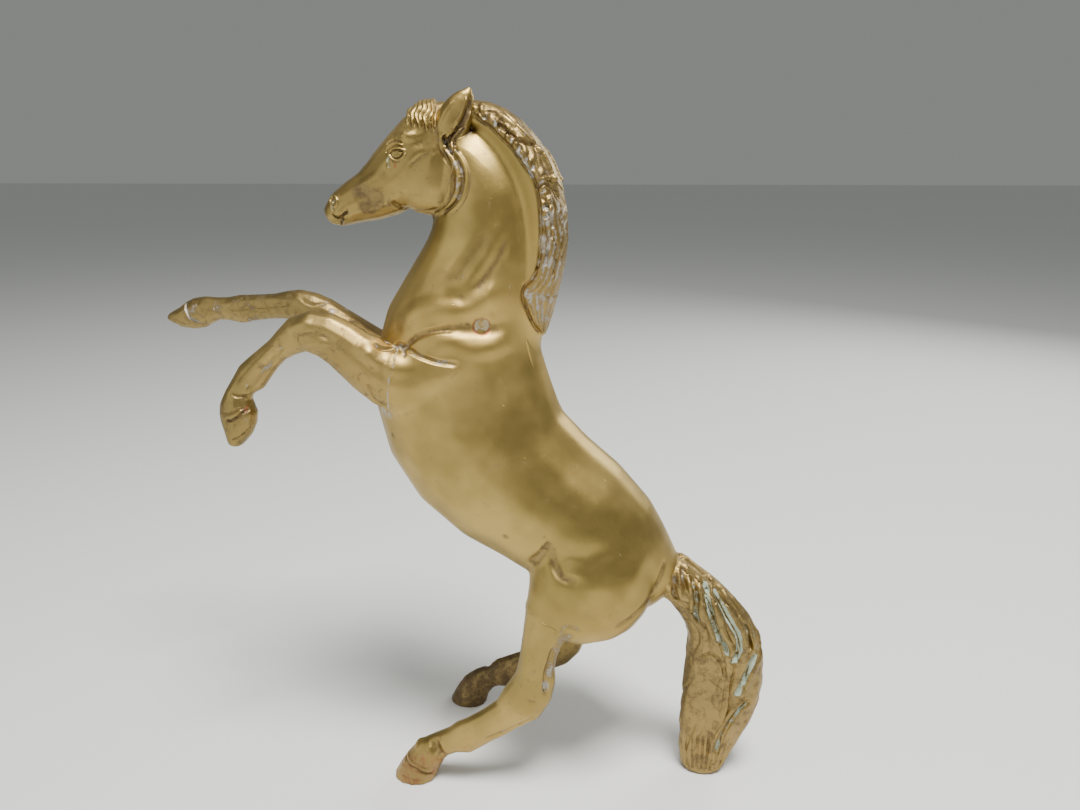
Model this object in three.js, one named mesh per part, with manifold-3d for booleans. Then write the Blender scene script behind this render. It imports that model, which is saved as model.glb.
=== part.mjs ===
// A rearing horse in cast brass, about 300 mm tall, standing on its two hind hooves and the tip of its tail.
// The trunk and neck are two hollow half castings, left and right, tied by a steel cross pin at the shoulder
// and registered by two short dowels. The head, the mane, the four legs and the tail are castings of their own:
// head, legs and tail plug into the trunk with spigots, a ring of filler metal closes each of those joints,
// and the mane sits on the crest with two pegs.
// Millimetres, +Z up. The horse faces -X, and its left side is towards -Y.
import * as THREE from 'three';
import { LoftGeometry } from 'three/addons/geometries/LoftGeometry.js';
import { mergeVertices } from 'three/addons/utils/BufferGeometryUtils.js';
import Module from 'manifold-3d';

const wasm = await Module();
wasm.setup();

// Driving dimensions.
const statueHeight = 306; // ground to ear tip
const statueBreadth = 78; // across the outer sides of the hind hooves
const wall = 3.2; // of the hollow trunk castings
const gap = 0.3; // left between neighbouring castings
const fit = 0.2; // slack round spigots, pins, dowels and pegs
const spigotRadius = 4; // of the legs and the tail
const spigotLength = 9;
const headSpigotRadius = 5;
const headSpigotLength = 14;
const bossWall = 2.4; // brass left round spigots, pin and dowels
const pinRadius = 3; // steel cross pin through the shoulder
const dowelRadius = 2; // brass dowels between the trunk halves
const dowelLength = 14;
const pegRadius = 1.5; // pegs under the mane
const pegLength = 6;
const fillerWidth = 1.8; // of each limb's filler ring, along the limb
const fillerDepth = 1.4; // how deep a ring sits below the skin
const fillerProud = 0.3; // how far it stands out of the skin
const headFillerWidth = 2.4;

// The tables below are drawn at this size, and scale with the two overall sizes.
const drawnHeight = 306;
const drawnBreadth = 78;
const tall = statueHeight / drawnHeight;
const broad = statueBreadth / drawnBreadth;

// Each row is one oval section: x, y, z of its centre, half depth, half width, and for some an egg factor that
// narrows the section towards the horse's back.
const trunkRows = [
  [51, 0, 99, 17.5, 17],
  [39.6, 0, 106.6, 25.4, 24.5, 0.05],
  [20.2, 0, 122.5, 31.4, 28.5, 0.05],
  [-0.5, 0, 137.2, 33.8, 28.5, 0.06],
  [-18.8, 0, 151.4, 38, 29, 0.08],
  [-30, 0, 168.4, 39.6, 29, 0.12],
  [-34.5, 0, 188, 38.8, 27.5, 0.2],
  [-33.3, 0, 208, 35, 24.5, 0.25],
  [-28.3, 0, 225, 29.8, 21, 0.22],
  [-24, 0, 240, 25.6, 18.3, 0.2],
  [-22.7, 0, 254, 22.4, 16.5, 0.15],
  [-25, 0, 267, 19.6, 15.3, 0.1],
  [-29.5, 0, 278, 15.5, 13.5, 0.1],
  [-35, 0, 285, 10.5, 11.5],
];
const haunchRows = [
  [38, 7, 124, 18, 13],
  [32, 11, 115, 25, 17],
  [25.5, 16, 104, 28, 17.5],
  [19, 20, 94, 25.5, 15],
  [13.5, 22.5, 86, 16, 11.6],
];
const shoulderRows = [
  [-19, 8, 206, 16, 11.5],
  [-30, 11.4, 199.5, 22.5, 14.4],
  [-41, 15, 193.8, 21.5, 13.8],
  [-50, 18.2, 191.2, 16.5, 12],
];
const nearHindRows = [
  [21, 18, 104, 20, 12],
  [14.5, 21.5, 96.5, 19, 12.5],
  [9.5, 23.5, 89.5, 13.4, 10.2],
  [6.4, 25, 82.5, 9.8, 8.2],
  [4, 26, 74, 8.2, 6.8],
  [2.8, 26.5, 66, 8, 6.2],
  [1.6, 26.5, 56.5, 9.6, 6],
  [-3.2, 26.5, 46.5, 10.6, 5.8],
  [-12, 26.5, 38, 7.4, 5.2],
  [-23.5, 26.5, 29, 7.4, 4.9],
  [-31.5, 26.5, 23.6, 8, 5.2],
  [-38.5, 26.5, 20.8, 5.6, 4.8],
  [-45, 26.5, 16.2, 6.6, 5.6],
  [-49.5, 26.5, 11.4, 7.8, 6.6],
  [-53, 26.5, 5.4, 8.6, 7.4],
  [-56.5, 26.5, -3, 9.6, 8],
];
const offHindRows = [
  [23, 18, 103, 20, 12],
  [17, 21.5, 95.5, 19, 12.5],
  [13.5, 24, 87, 13.6, 10.2],
  [11.5, 26.5, 77, 9.8, 8.2],
  [11, 29, 65, 8, 6.8],
  [11, 31, 54.5, 8, 6.2],
  [9.6, 32.5, 45, 9.6, 6],
  [3.5, 33, 36.5, 10.2, 5.8],
  [-6, 33, 28.6, 7.4, 5.2],
  [-18, 33, 22.6, 7.4, 4.9],
  [-25.5, 33, 18.5, 8, 5.2],
  [-31, 33, 16.4, 5.8, 4.8],
  [-36, 33, 13, 6.8, 5.6],
  [-40, 33, 9, 7.8, 6.6],
  [-42.5, 33, 4, 8.6, 7.4],
  [-45, 33, -3, 9.6, 8],
];
const nearForeRows = [
  [-40, 17, 191.5, 15.5, 10.5],
  [-50, 19.5, 190.5, 15.8, 11],
  [-60, 21.5, 193, 13.6, 10],
  [-69, 23.5, 199, 11.6, 8.8],
  [-76.5, 24.5, 205.5, 10.4, 7.8],
  [-85, 25, 210.5, 9.6, 7.2],
  [-94, 25, 211.8, 8.6, 7.2],
  [-101.5, 24.8, 208, 6.4, 6],
  [-108.4, 24.5, 203, 5, 4.8],
  [-114.6, 24.2, 197.4, 5.8, 4.7],
  [-120.4, 24, 191.6, 6.8, 5],
  [-126, 24, 186, 5, 4.6],
  [-128.2, 24, 180, 7.2, 5.8],
  [-128.2, 24, 174.5, 8.2, 6.6],
  [-128.8, 24, 169, 6.9, 6.6],
  [-130.5, 24, 162, 3, 5.4],
];
const offForeRows = [
  [-46, 17, 187, 13, 10],
  [-56, 18.5, 188, 11.6, 9.5],
  [-68, 18.5, 191.6, 8.6, 8.6],
  [-78, 18.2, 197.2, 7, 8],
  [-88, 18, 203.6, 6.4, 7.6],
  [-98, 18, 209.2, 6.6, 7.2],
  [-105.5, 18, 213, 7.1, 7],
  [-113.5, 18, 215.6, 7.1, 6.8],
  [-121, 18, 215.6, 6.6, 5.8],
  [-129, 18, 214.8, 5.7, 4.9],
  [-137.5, 18, 214.2, 5.9, 4.8],
  [-146.5, 18, 213, 6.6, 5],
  [-154.5, 18, 213.2, 4.9, 4.6],
  [-161.5, 18, 212.6, 6.2, 5.8],
  [-168, 18, 210.5, 7.3, 6.6],
  [-174, 18, 208.8, 5.8, 6.4],
  [-181, 18, 208.6, 2.2, 5],
];
const tailRows = [
  [48, 0, 103, 8, 9],
  [57, 0, 102.5, 9.6, 10],
  [65, 0, 97.5, 9.4, 10],
  [73.5, 0, 89.5, 10.8, 10],
  [80.5, 0, 80.5, 13, 10.2],
  [84.5, 0, 70.5, 15.6, 10],
  [86.3, 0, 58, 17.4, 9.4],
  [85.5, 0, 44, 17.6, 8.6],
  [83, 0, 30, 16, 8],
  [80, 0, 15, 12.6, 7.4],
  [78, 0, -4, 7.6, 5.6],
];
const skullRows = [
  [-34, 0, 294, 10, 8.5],
  [-43, 0, 288.2, 14, 11.2],
  [-52, 0, 280.5, 13.2, 11.2],
  [-60, 0, 272, 13, 9.6],
  [-69, 0, 266.4, 10.4, 7.9],
  [-77.5, 0, 263, 8.2, 7],
  [-83.4, 0, 259.8, 6.5, 6.6],
  [-86, 0, 258.6, 4.6, 5.2],
];
const cheekRows = [
  [-41.5, 0, 289, 12, 10.8],
  [-43.5, 0, 280, 14.4, 12.2],
  [-44.7, 0, 271, 15, 12],
  [-46.3, 0, 263.5, 12.6, 9.6],
];
const earRows = [
  [-34.5, 9, 293, 4.8, 4],
  [-33, 9.3, 298.5, 4.6, 3.6],
  [-30.8, 9.6, 303, 2.9, 2.4],
  [-28.2, 9.8, 306.4, 0.8, 0.8],
];
const maneRows = [
  [-4.5, 0, 205, 4, 6],
  [-4.4, 0, 213, 7.5, 10],
  [-0.6, 0, 228.8, 8, 12.5],
  [2, 0, 241.3, 8.2, 13],
  [2.6, 0, 255, 8.4, 13],
  [0.2, 0, 268.2, 8.4, 12.6],
  [-3.4, 0, 276.4, 8.2, 12],
  [-8.6, 0, 284.4, 7.8, 11],
  [-14.4, 0, 290.8, 7.2, 9.5],
  [-21, 0, 295.4, 6.2, 8.5],
  [-28, 0, 298, 4.6, 7],
];

// Where each limb meets the trunk: a point on its axis, and the direction it leaves in.
const limbs = {
  foreleg_left: { rows: nearForeRows, side: -1, at: [-59, 21, 192.3], along: [-0.97, 0.14, 0.18] },
  foreleg_right: { rows: offForeRows, side: 1, at: [-63, 18.5, 190.2], along: [-0.96, 0, 0.26] },
  hindleg_left: { rows: nearHindRows, side: -1, at: [9, 23.7, 88.3], along: [-0.39, 0.15, -0.9] },
  hindleg_right: { rows: offHindRows, side: 1, at: [13.2, 24.3, 86], along: [-0.26, 0.25, -0.93] },
  tail: { rows: tailRows, side: 1, at: [59.5, 0, 101.4], along: [0.8, 0, -0.6] },
};
const headTurn = THREE.MathUtils.degToRad(12); // to the horse's left
const poll = [-34, 0, 286]; // the head turns about an upright line through here
const headSpigot = { at: [-35, 0, 278], along: [0.5, 0, -0.86] };
const pegs = [
  { at: [4, 0, 241], along: [-1, 0, -0.05] },
  { at: [-2, 0, 273], along: [-0.97, 0, -0.24] },
];
const pinAt = [-21, 215.5]; // x and z of the cross pin and of the two dowels
const croupDowelAt = [30, 122];
const neckDowelAt = [-25, 246];

const castBrass = new THREE.MeshStandardMaterial({ color: 0xa8864a, metalness: 1, roughness: 0.38 });
const hairBrass = new THREE.MeshStandardMaterial({ color: 0x8f7448, metalness: 1, roughness: 0.48 });
const filler = new THREE.MeshStandardMaterial({ color: 0xb9ab8a, metalness: 1, roughness: 0.42 });
const steel = new THREE.MeshStandardMaterial({ color: 0x8c8a84, metalness: 1, roughness: 0.5 });

// A geometry as a manifold-3d solid.
function solid(geometry) {
  const bare = new THREE.BufferGeometry();
  bare.setAttribute('position', geometry.getAttribute('position'));
  bare.setIndex(geometry.index);
  const { index, attributes } = mergeVertices(bare, 1e-3);
  return new wasm.Manifold(new wasm.Mesh({
    numProp: 3,
    vertProperties: attributes.position.array,
    triVerts: new Uint32Array(index.array),
  }));
}

const union = (...solids) => solids.reduce((a, b) => a.add(b));
const place = ([x, y, z], side = 1) => new THREE.Vector3(x * tall, y * side * broad, z * tall);

// A closed skin of oval rings strung along a smooth path through the rows. side mirrors it across the
// horse's middle, grow swells it all over, and turn turns it about the upright line through the poll.
function skin(rows, { side = 1, grow = 0, turn = 0, sides = 12, perRow = 1.4 } = {}) {
  const path = new THREE.CatmullRomCurve3(rows.map((row) => place(row, side)));
  const shape = new THREE.CatmullRomCurve3(rows.map(([, , , deep, wide, egg = 0]) =>
    new THREE.Vector3(deep * tall + grow, wide * broad + grow, egg)));
  const ring = (t, swell = 1, push = 0) => {
    const along = path.getTangent(t);
    const across = new THREE.Vector3(0, 1, 0).addScaledVector(along, -along.y).normalize();
    const back = new THREE.Vector3().crossVectors(across, along);
    const { x: deep, y: wide, z: egg } = shape.getPoint(t);
    const centre = path.getPoint(t).addScaledVector(along, push * Math.min(deep, wide));
    return Array.from({ length: sides }, (_, i) => {
      const angle = -(i / sides) * Math.PI * 2;
      return centre.clone()
        .addScaledVector(back, deep * swell * Math.sin(angle))
        .addScaledVector(across, wide * swell * Math.cos(angle) * (1 - egg * Math.sin(angle)));
    });
  };
  const steps = Math.round((rows.length - 1) * perRow);
  const rings = Array.from({ length: steps + 1 }, (_, i) => ring(i / steps));
  for (const [swell, push] of [[0.8, 0.3], [0.4, 0.5]]) { // rounds off both ends
    rings.unshift(ring(0, swell, -push));
    rings.push(ring(1, swell, push));
  }
  const geometry = new LoftGeometry(rings, { capStart: true, capEnd: true });
  const pivot = place(poll);
  geometry.translate(-pivot.x, 0, 0).rotateZ(turn).translate(pivot.x, 0, 0);
  return solid(geometry);
}

// A round bar from one point to another.
function bar(from, to, radius, sides = 20) {
  const span = to.clone().sub(from);
  const geometry = new THREE.CylinderGeometry(radius, radius, span.length(), sides);
  geometry.translate(0, span.length() / 2, 0);
  geometry.applyQuaternion(new THREE.Quaternion().setFromUnitVectors(
    new THREE.Vector3(0, 1, 0), span.clone().normalize()));
  geometry.translate(from.x, from.y, from.z);
  return solid(geometry);
}

// A bar across the horse at an x and z.
function crossBar([x, z], length, radius) {
  const middle = place([x, 0, z]);
  const half = new THREE.Vector3(0, length / 2, 0);
  return bar(middle.clone().sub(half), middle.clone().add(half), radius);
}

// A square block that starts at a point and runs off in a direction.
function block(from, along, length, width = 400) {
  const geometry = new THREE.BoxGeometry(width, length, width);
  geometry.translate(0, length / 2, 0);
  geometry.applyQuaternion(new THREE.Quaternion().setFromUnitVectors(new THREE.Vector3(0, 1, 0), along));
  geometry.translate(from.x, from.y, from.z);
  return solid(geometry);
}

const above = block(new THREE.Vector3(), new THREE.Vector3(0, 0, 1), 400, 600);
const leftHalf = block(new THREE.Vector3(0, -gap / 2, 0), new THREE.Vector3(0, -1, 0), 100, 800);
const rightHalf = block(new THREE.Vector3(0, gap / 2, 0), new THREE.Vector3(0, 1, 0), 100, 800);

const trunk = (grow, detail) => skin(trunkRows, { grow, sides: 20, ...detail });
const skull = (grow) => union(...[skullRows, cheekRows].map((rows) =>
  skin(rows, { grow, turn: headTurn })));
const ears = (grow) => union(...[-1, 1].map((side) =>
  skin(earRows, { grow, side, turn: headTurn, sides: 8, perRow: 1 })));

// Each limb beyond its joint plane, and the trunk end of the same limb.
const castings = {};
const rings = {};
const inner = [];
const seats = [];
for (const [name, { rows, side, at, along }] of Object.entries(limbs)) {
  const from = place(at, side);
  const away = new THREE.Vector3(along[0], along[1] * side, along[2]).normalize();
  const shift = (distance) => from.clone().addScaledVector(away, distance);
  const beyond = (distance) => block(shift(distance), away, 260);
  const limb = (grow, detail) => skin(rows, { side, grow, ...detail });
  const spigot = (slack) => bar(shift(-spigotLength - slack), shift(1), spigotRadius + slack);
  const ring = (slack) => limb(fillerProud + slack)
    .subtract(limb(-fillerDepth - slack))
    .intersect(block(shift(-fillerWidth / 2 - slack), away, fillerWidth + 2 * slack));
  rings[name] = ring(0);
  castings[name] = limb(0).intersect(beyond(gap / 2)).add(spigot(0)).subtract(ring(gap)).intersect(above);
  inner.push(limb(0).subtract(beyond(-gap / 2)));
  seats.push({
    cut: union(limb(gap).intersect(beyond(-gap / 2)), spigot(fit), ring(gap)),
    kept: union(
      bar(shift(-spigotLength - bossWall), shift(0), spigotRadius + fit + bossWall, 12),
      limb(gap + wall, { sides: 8, perRow: 0.5 }).intersect(beyond(-wall)),
    ),
  });
}

// The trunk with its haunches and shoulders.
const torso = (grow, detail) => union(
  trunk(grow, detail),
  ...[-1, 1].flatMap((side) => [haunchRows, shoulderRows].map((rows) =>
    skin(rows, { grow, side, ...detail }))),
);

// The head's own spigot, and the pegs under the mane.
function stud({ at, along }, inside, length, radius, slack = 0) {
  const from = place(at);
  const way = new THREE.Vector3(...along).normalize();
  return bar(from.clone().addScaledVector(way, -inside), from.clone().addScaledVector(way, length + slack),
    radius + slack);
}
const headStud = (slack) => stud(headSpigot, 5, headSpigotLength, headSpigotRadius, slack);
const manePegs = (slack) => union(...pegs.map((peg) => stud(peg, 0, pegLength, pegRadius, slack)));

const whole = union(torso(0), ...inner);
const headRing = (slack) => skull(gap + headFillerWidth + slack)
  .intersect(trunk(fillerProud + slack))
  .subtract(trunk(-fillerDepth - slack));
const mane = (grow) => skin(maneRows, { grow });

const hollow = torso(-wall, { sides: 10, perRow: 0.7 })
  .subtract(union(...seats.map(({ kept }) => kept)))
  .subtract(skull(gap + wall))
  .subtract(stud(headSpigot, 5, headSpigotLength + bossWall, headSpigotRadius + fit + bossWall))
  .subtract(crossBar(pinAt, 200, pinRadius + fit + bossWall))
  .subtract(crossBar(croupDowelAt, 200, dowelRadius + fit + bossWall))
  .subtract(crossBar(neckDowelAt, 200, dowelRadius + fit + bossWall));
const dowel = (at, slack) => crossBar(at, dowelLength + 2 * slack, dowelRadius + slack);
const shell = whole
  .subtract(hollow)
  .subtract(union(...seats.map(({ cut }) => cut)))
  .subtract(skull(gap))
  .subtract(ears(gap))
  .subtract(headRing(gap))
  .subtract(headStud(fit))
  .subtract(manePegs(fit))
  .subtract(crossBar(pinAt, 200, pinRadius + fit))
  .subtract(dowel(croupDowelAt, fit))
  .subtract(dowel(neckDowelAt, fit));

const parts = [
  ['body_left', shell.intersect(leftHalf), castBrass],
  ['body_right', shell.intersect(rightHalf), castBrass],
  ['head', union(skull(0), ears(0), headStud(0)), castBrass],
  ['mane', mane(0).subtract(torso(gap)).subtract(skull(gap)).subtract(ears(gap)).add(manePegs(0)), hairBrass],
  ...Object.entries(castings).map(([name, casting]) => [name, casting, name === 'tail' ? hairBrass : castBrass]),
  ['shoulder_pin', crossBar(pinAt, 200, pinRadius).intersect(torso(0)), steel],
  ['croup_dowel', dowel(croupDowelAt, 0), castBrass],
  ['neck_dowel', dowel(neckDowelAt, 0), castBrass],
  ['head_filler', headRing(0).subtract(skull(gap)).subtract(ears(gap)).subtract(mane(gap)), filler],
  ...Object.entries(rings).map(([name, ring]) => [`${name}_filler`, ring, filler]),
];

const group = new THREE.Group();
for (const [name, part, material] of parts) {
  const { vertProperties, triVerts } = part.getMesh();
  const geometry = new THREE.BufferGeometry();
  geometry.setAttribute('position', new THREE.BufferAttribute(new Float32Array(vertProperties), 3));
  geometry.setIndex([...triVerts]);
  const mesh = new THREE.Mesh(geometry, material.clone());
  mesh.name = name;
  group.add(mesh);
}

// The origin goes under the middle of the statue.
const bounds = new THREE.Box3().setFromObject(group);
const middle = bounds.getCenter(new THREE.Vector3());
for (const { geometry } of group.children) geometry.translate(-middle.x, -middle.y, -bounds.min.z);

export default group;
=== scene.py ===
import math

import bmesh
import bpy
import numpy as np
from mathutils import Matrix, Vector
from mathutils.bvhtree import BVHTree


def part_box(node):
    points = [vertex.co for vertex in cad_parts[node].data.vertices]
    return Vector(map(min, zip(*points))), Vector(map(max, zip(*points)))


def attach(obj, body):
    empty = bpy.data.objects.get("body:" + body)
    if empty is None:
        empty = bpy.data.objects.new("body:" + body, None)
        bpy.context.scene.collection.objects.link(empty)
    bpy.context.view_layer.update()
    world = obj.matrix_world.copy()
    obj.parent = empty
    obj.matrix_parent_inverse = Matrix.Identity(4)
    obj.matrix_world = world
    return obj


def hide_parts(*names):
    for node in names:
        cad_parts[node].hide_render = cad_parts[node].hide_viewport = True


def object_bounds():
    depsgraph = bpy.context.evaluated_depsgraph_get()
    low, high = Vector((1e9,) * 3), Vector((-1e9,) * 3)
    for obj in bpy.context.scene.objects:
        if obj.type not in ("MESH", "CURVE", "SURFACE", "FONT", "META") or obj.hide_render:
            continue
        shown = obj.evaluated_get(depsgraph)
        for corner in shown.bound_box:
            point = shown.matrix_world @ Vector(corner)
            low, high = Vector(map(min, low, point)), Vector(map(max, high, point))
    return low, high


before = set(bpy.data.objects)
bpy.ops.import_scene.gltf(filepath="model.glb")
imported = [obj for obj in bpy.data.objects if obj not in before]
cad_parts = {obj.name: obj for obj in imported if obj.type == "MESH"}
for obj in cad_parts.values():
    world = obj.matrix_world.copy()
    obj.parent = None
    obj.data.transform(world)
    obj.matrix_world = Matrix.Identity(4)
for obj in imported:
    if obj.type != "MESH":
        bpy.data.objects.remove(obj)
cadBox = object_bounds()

mm = 0.001
midline = -3.23  # the body halves meet at this y, in mm

room = {
    "floorSize": 40.0,
    "floorGap": 0.0002,
    "floorRoughness": 0.85,
    "floorColour": (0.80, 0.81, 0.80),
    "sky": (0.62, 0.64, 0.62),
    "skyStrength": 0.38,
    "lens": 27.0,
    "sensor": 36.0,
    "eye": (92.34, -339.04, 275.0),
    "turn": 9.0,   # degrees that the view is turned from straight at the horse's left side
    "dip": 16.0,   # degrees that it looks down
    # name: place, aim, size, watts, colour
    "lights": {
        "keyLight": ((0.25, -0.30, 1.15), (0.0, 0.0, 0.15), (0.34, 0.34), 23.0, (1.0, 0.98, 0.94)),
        "fillLight": ((-0.75, -0.90, 0.45), (0.0, 0.0, 0.15), (1.2, 0.9), 4.0, (0.97, 1.0, 0.97)),
        "backLight": ((0.7, 0.9, 0.7), (0.0, 0.0, 0.18), (0.7, 0.5), 7.0, (1.0, 1.0, 0.98)),
    },
}


def placed(name, data):
    thing = bpy.data.objects.new(name, data)
    bpy.context.scene.collection.objects.link(thing)
    return thing


def areaLight(name, place, aim, size, power, colour):
    data = bpy.data.lights.new(name, "AREA")
    data.shape = "RECTANGLE"
    data.size, data.size_y = size
    data.energy = power
    data.color = colour
    lamp = placed(name, data)
    lamp.location = place
    lamp.rotation_euler = (Vector(aim) - Vector(place)).to_track_quat("-Z", "Y").to_euler()


def makeRoom():
    data = bpy.data.cameras.new("camera")
    data.lens, data.sensor_width = room["lens"], room["sensor"]
    data.clip_start = 0.01
    camera = placed("camera", data)
    camera.location = Vector(room["eye"]) * mm
    camera.rotation_euler = (math.radians(90 - room["dip"]), 0, math.radians(room["turn"]))
    bpy.context.scene.camera = camera

    bm = bmesh.new()
    bmesh.ops.create_grid(bm, x_segments=1, y_segments=1, size=room["floorSize"] / 2)
    mesh = bpy.data.meshes.new("floor")
    bm.to_mesh(mesh)
    floor = placed("floor", mesh)
    floor.location.z = cadBox[0][2] - room["floorGap"]
    paint = bpy.data.materials.new("floorPaper")
    paint.use_nodes = True
    shader = paint.node_tree.nodes["Principled BSDF"]
    shader.inputs["Base Color"].default_value = (*room["floorColour"], 1)
    shader.inputs["Roughness"].default_value = room["floorRoughness"]
    mesh.materials.append(paint)

    world = bpy.data.worlds.new("studio")
    world.use_nodes = True
    background = world.node_tree.nodes["Background"]
    background.inputs["Color"].default_value = (*room["sky"], 1)
    background.inputs["Strength"].default_value = room["skyStrength"]
    bpy.context.scene.world = world
    for name, settings in room["lights"].items():
        areaLight(name, *settings)


class Sock:
    # a socket that works in sums: Sock * 2 + Sock adds the Math nodes
    def __init__(self, tree, socket):
        self.tree, self.socket = tree, socket

    def make(self, kind, settings=None, inputs=None, out=0):
        node = self.tree.nodes.new(kind)
        for key, value in (settings or {}).items():
            if key == "stops":
                ramp = node.color_ramp
                while len(ramp.elements) < len(value):
                    ramp.elements.new(0.5)
                for element, (place, colour) in zip(ramp.elements, value):
                    element.position, element.color = place, colour
            else:
                setattr(node, key, value)
        for key, value in (inputs or {}).items():
            if isinstance(value, Sock):
                self.tree.links.new(value.socket, node.inputs[key])
            else:
                node.inputs[key].default_value = value
        return Sock(self.tree, node.outputs[out])

    def maths(self, operation, first, second):
        return self.make("ShaderNodeMath", {"operation": operation}, {0: first, 1: second})

    def __add__(self, other):
        return self.maths("ADD", self, other)

    def __sub__(self, other):
        return self.maths("SUBTRACT", self, other)

    def __rsub__(self, other):
        return self.maths("SUBTRACT", other, self)

    def __mul__(self, other):
        return self.maths("MULTIPLY", self, other)

    __radd__ = __add__
    __rmul__ = __mul__

    def between(self, low, high):
        return self.make("ShaderNodeMapRange", {"clamp": True, "interpolation_type": "SMOOTHSTEP"},
                         {"Value": self, "From Min": low, "From Max": high})

    def blend(self, first, second):
        # sockets 6 and 7 are the two colours, output 2 is the colour that comes out
        return self.make("ShaderNodeMix", {"data_type": "RGBA"}, {"Factor": self, 6: first, 7: second}, 2)


brass = {
    "bright": (0.52, 0.372, 0.122, 1),
    "olive": (0.325, 0.236, 0.072, 1),
    "warm": (0.47, 0.27, 0.072, 1),
    "umber": (0.215, 0.152, 0.072, 1),
    "brown": (0.095, 0.061, 0.032, 1),
    "copper": (0.40, 0.12, 0.06, 1),
    "silver": (0.44, 0.41, 0.36, 1),
    "green": (0.46, 0.56, 0.45, 1),
    "roughness": 0.34,
    # how many of each pattern fit in a metre, roughly
    "drift": 11,
    "cloud": 26,
    "mottle": 210,
    "spots": 330,
    "streak": 420,
    "pits": 450,
    "speck": 900,
    "bump": 0.55,
    "relief": 0.00028,  # metres
}


def brassMaterial(name, tarnish=0.35, grain=1.0):
    material = bpy.data.materials.new(name)
    material.use_nodes = True
    tree = material.node_tree
    shader = tree.nodes["Principled BSDF"]
    start = Sock(tree, None)
    place = start.make("ShaderNodeTexCoord", out="Object")

    def noise(scale, detail=4.0, rough=0.55, distort=0.0):
        return start.make("ShaderNodeTexNoise", {"noise_dimensions": "3D"},
                          {"Vector": place, "Scale": scale, "Detail": detail, "Roughness": rough,
                           "Distortion": distort}, "Fac")

    def layer(key):
        return start.make("ShaderNodeAttribute", {"attribute_name": key}, out="Fac")

    cloud = noise(brass["cloud"], 3).between(0.36, 0.66)
    mottle = noise(brass["mottle"], 6, 0.68, 0.8)
    speck = noise(brass["speck"], 4, 0.7)
    streak = noise(brass["streak"], 5, 0.75, 1.5)
    grit = mottle * 0.65 + streak * 0.35 - 0.5
    # this layer holds real patina and also painted shade on the far hind leg; tint and dull turn both umber
    # and brown
    patina, residue = layer("patina"), layer("residue")
    verdigris, copper = layer("verdigris"), layer("copper")

    # each mask is its painted amount, broken up by the grit
    spots = noise(brass["spots"], 2, 0.5).between(0.72, 0.80) * 0.5
    tint = patina.between(0.0, 1.2) * 0.8
    dull = (spots + patina * 0.95 + grit * (4.2 + tarnish) - 0.5 + tarnish * 0.1).between(0.0, 0.9)
    grey = (residue * 0.95 + grit * 4.4 - 0.50).between(0.0, 0.5)
    pale = (verdigris * 1.1 + grit * 3.6 - 0.52).between(0.0, 0.5)
    red = (copper + grit * 2.4 - 0.35).between(0.0, 0.8)
    colour = cloud.blend(brass["olive"], brass["bright"])
    colour = (noise(brass["drift"], 2).between(0.45, 0.75) * 0.35).blend(colour, brass["warm"])
    colour = tint.blend(colour, brass["umber"])
    colour = (dull * 0.8).blend(colour, brass["brown"])
    colour = (red * 0.75).blend(colour, brass["copper"])
    colour = (grey * 0.85).blend(colour, brass["silver"])
    colour = (pale * 0.85).blend(colour, brass["green"])
    tree.links.new(colour.socket, shader.inputs["Base Color"])
    metal = 1.0 - grey * 0.35 - pale * 0.80 - dull * 0.30
    tree.links.new(metal.socket, shader.inputs["Metallic"])
    rough = cloud * 0.05 + dull * 0.18 + pale * 0.3 + speck * 0.14 + brass["roughness"]
    tree.links.new(rough.socket, shader.inputs["Roughness"])

    pits = noise(brass["pits"], 3, 0.6).between(0.70, 0.82)
    height = speck * 0.12 * grain + mottle * 0.35 * grain - pits * 0.6 * grain - dull * 0.25 + grey * 0.35
    bump = start.make("ShaderNodeBump", None, {"Height": height, "Strength": brass["bump"],
                                               "Distance": brass["relief"]})
    tree.links.new(bump.socket, shader.inputs["Normal"])
    return material


headTurn = {"angle": math.radians(12), "about": (5.157, midline)}


def turned(points, angle):
    # turns mm points about the upright axis of the neck
    cx, cy = headTurn["about"]
    x, y = points[..., 0] - cx, points[..., 1] - cy
    c, s = math.cos(angle), math.sin(angle)
    return np.stack([c * x - s * y + cx, s * x + c * y + cy, points[..., 2]], -1)


casting = {
    "pieces": ["body_left", "body_right", "head", "mane", "foreleg_left", "foreleg_right",
               "hindleg_left", "hindleg_right", "tail"],
    "fillers": ["head_filler", "foreleg_left_filler", "foreleg_right_filler", "hindleg_left_filler",
                "hindleg_right_filler", "tail_filler"],
    "plugged": "shoulder_pin",
    "ear": [(2.2, 8.2, 288.5, 5.6, 4.0), (4.0, 8.8, 293.5, 6.5, 4.4), (5.6, 9.3, 298.0, 6.0, 3.9),
            (7.4, 9.6, 302.0, 4.5, 2.9), (9.2, 9.8, 304.7, 2.7, 1.9), (10.8, 9.8, 306.2, 0.9, 0.8)],
    "earSides": 20,
    "earLean": 0.25,
    "grid": 0.75,
    "swell": 0.24,
    "broad": {"body_left": 1.0, "body_right": 1.0, "head": 0.04, "mane": 0.1, "foreleg_left": 0.06,
              "foreleg_right": 0.06, "hindleg_left": 0.08, "hindleg_right": 0.08, "tail": 0.3},
    "broadRounds": 60,
    "fairRounds": 3,
}
pieceNames = casting["pieces"]


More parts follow.
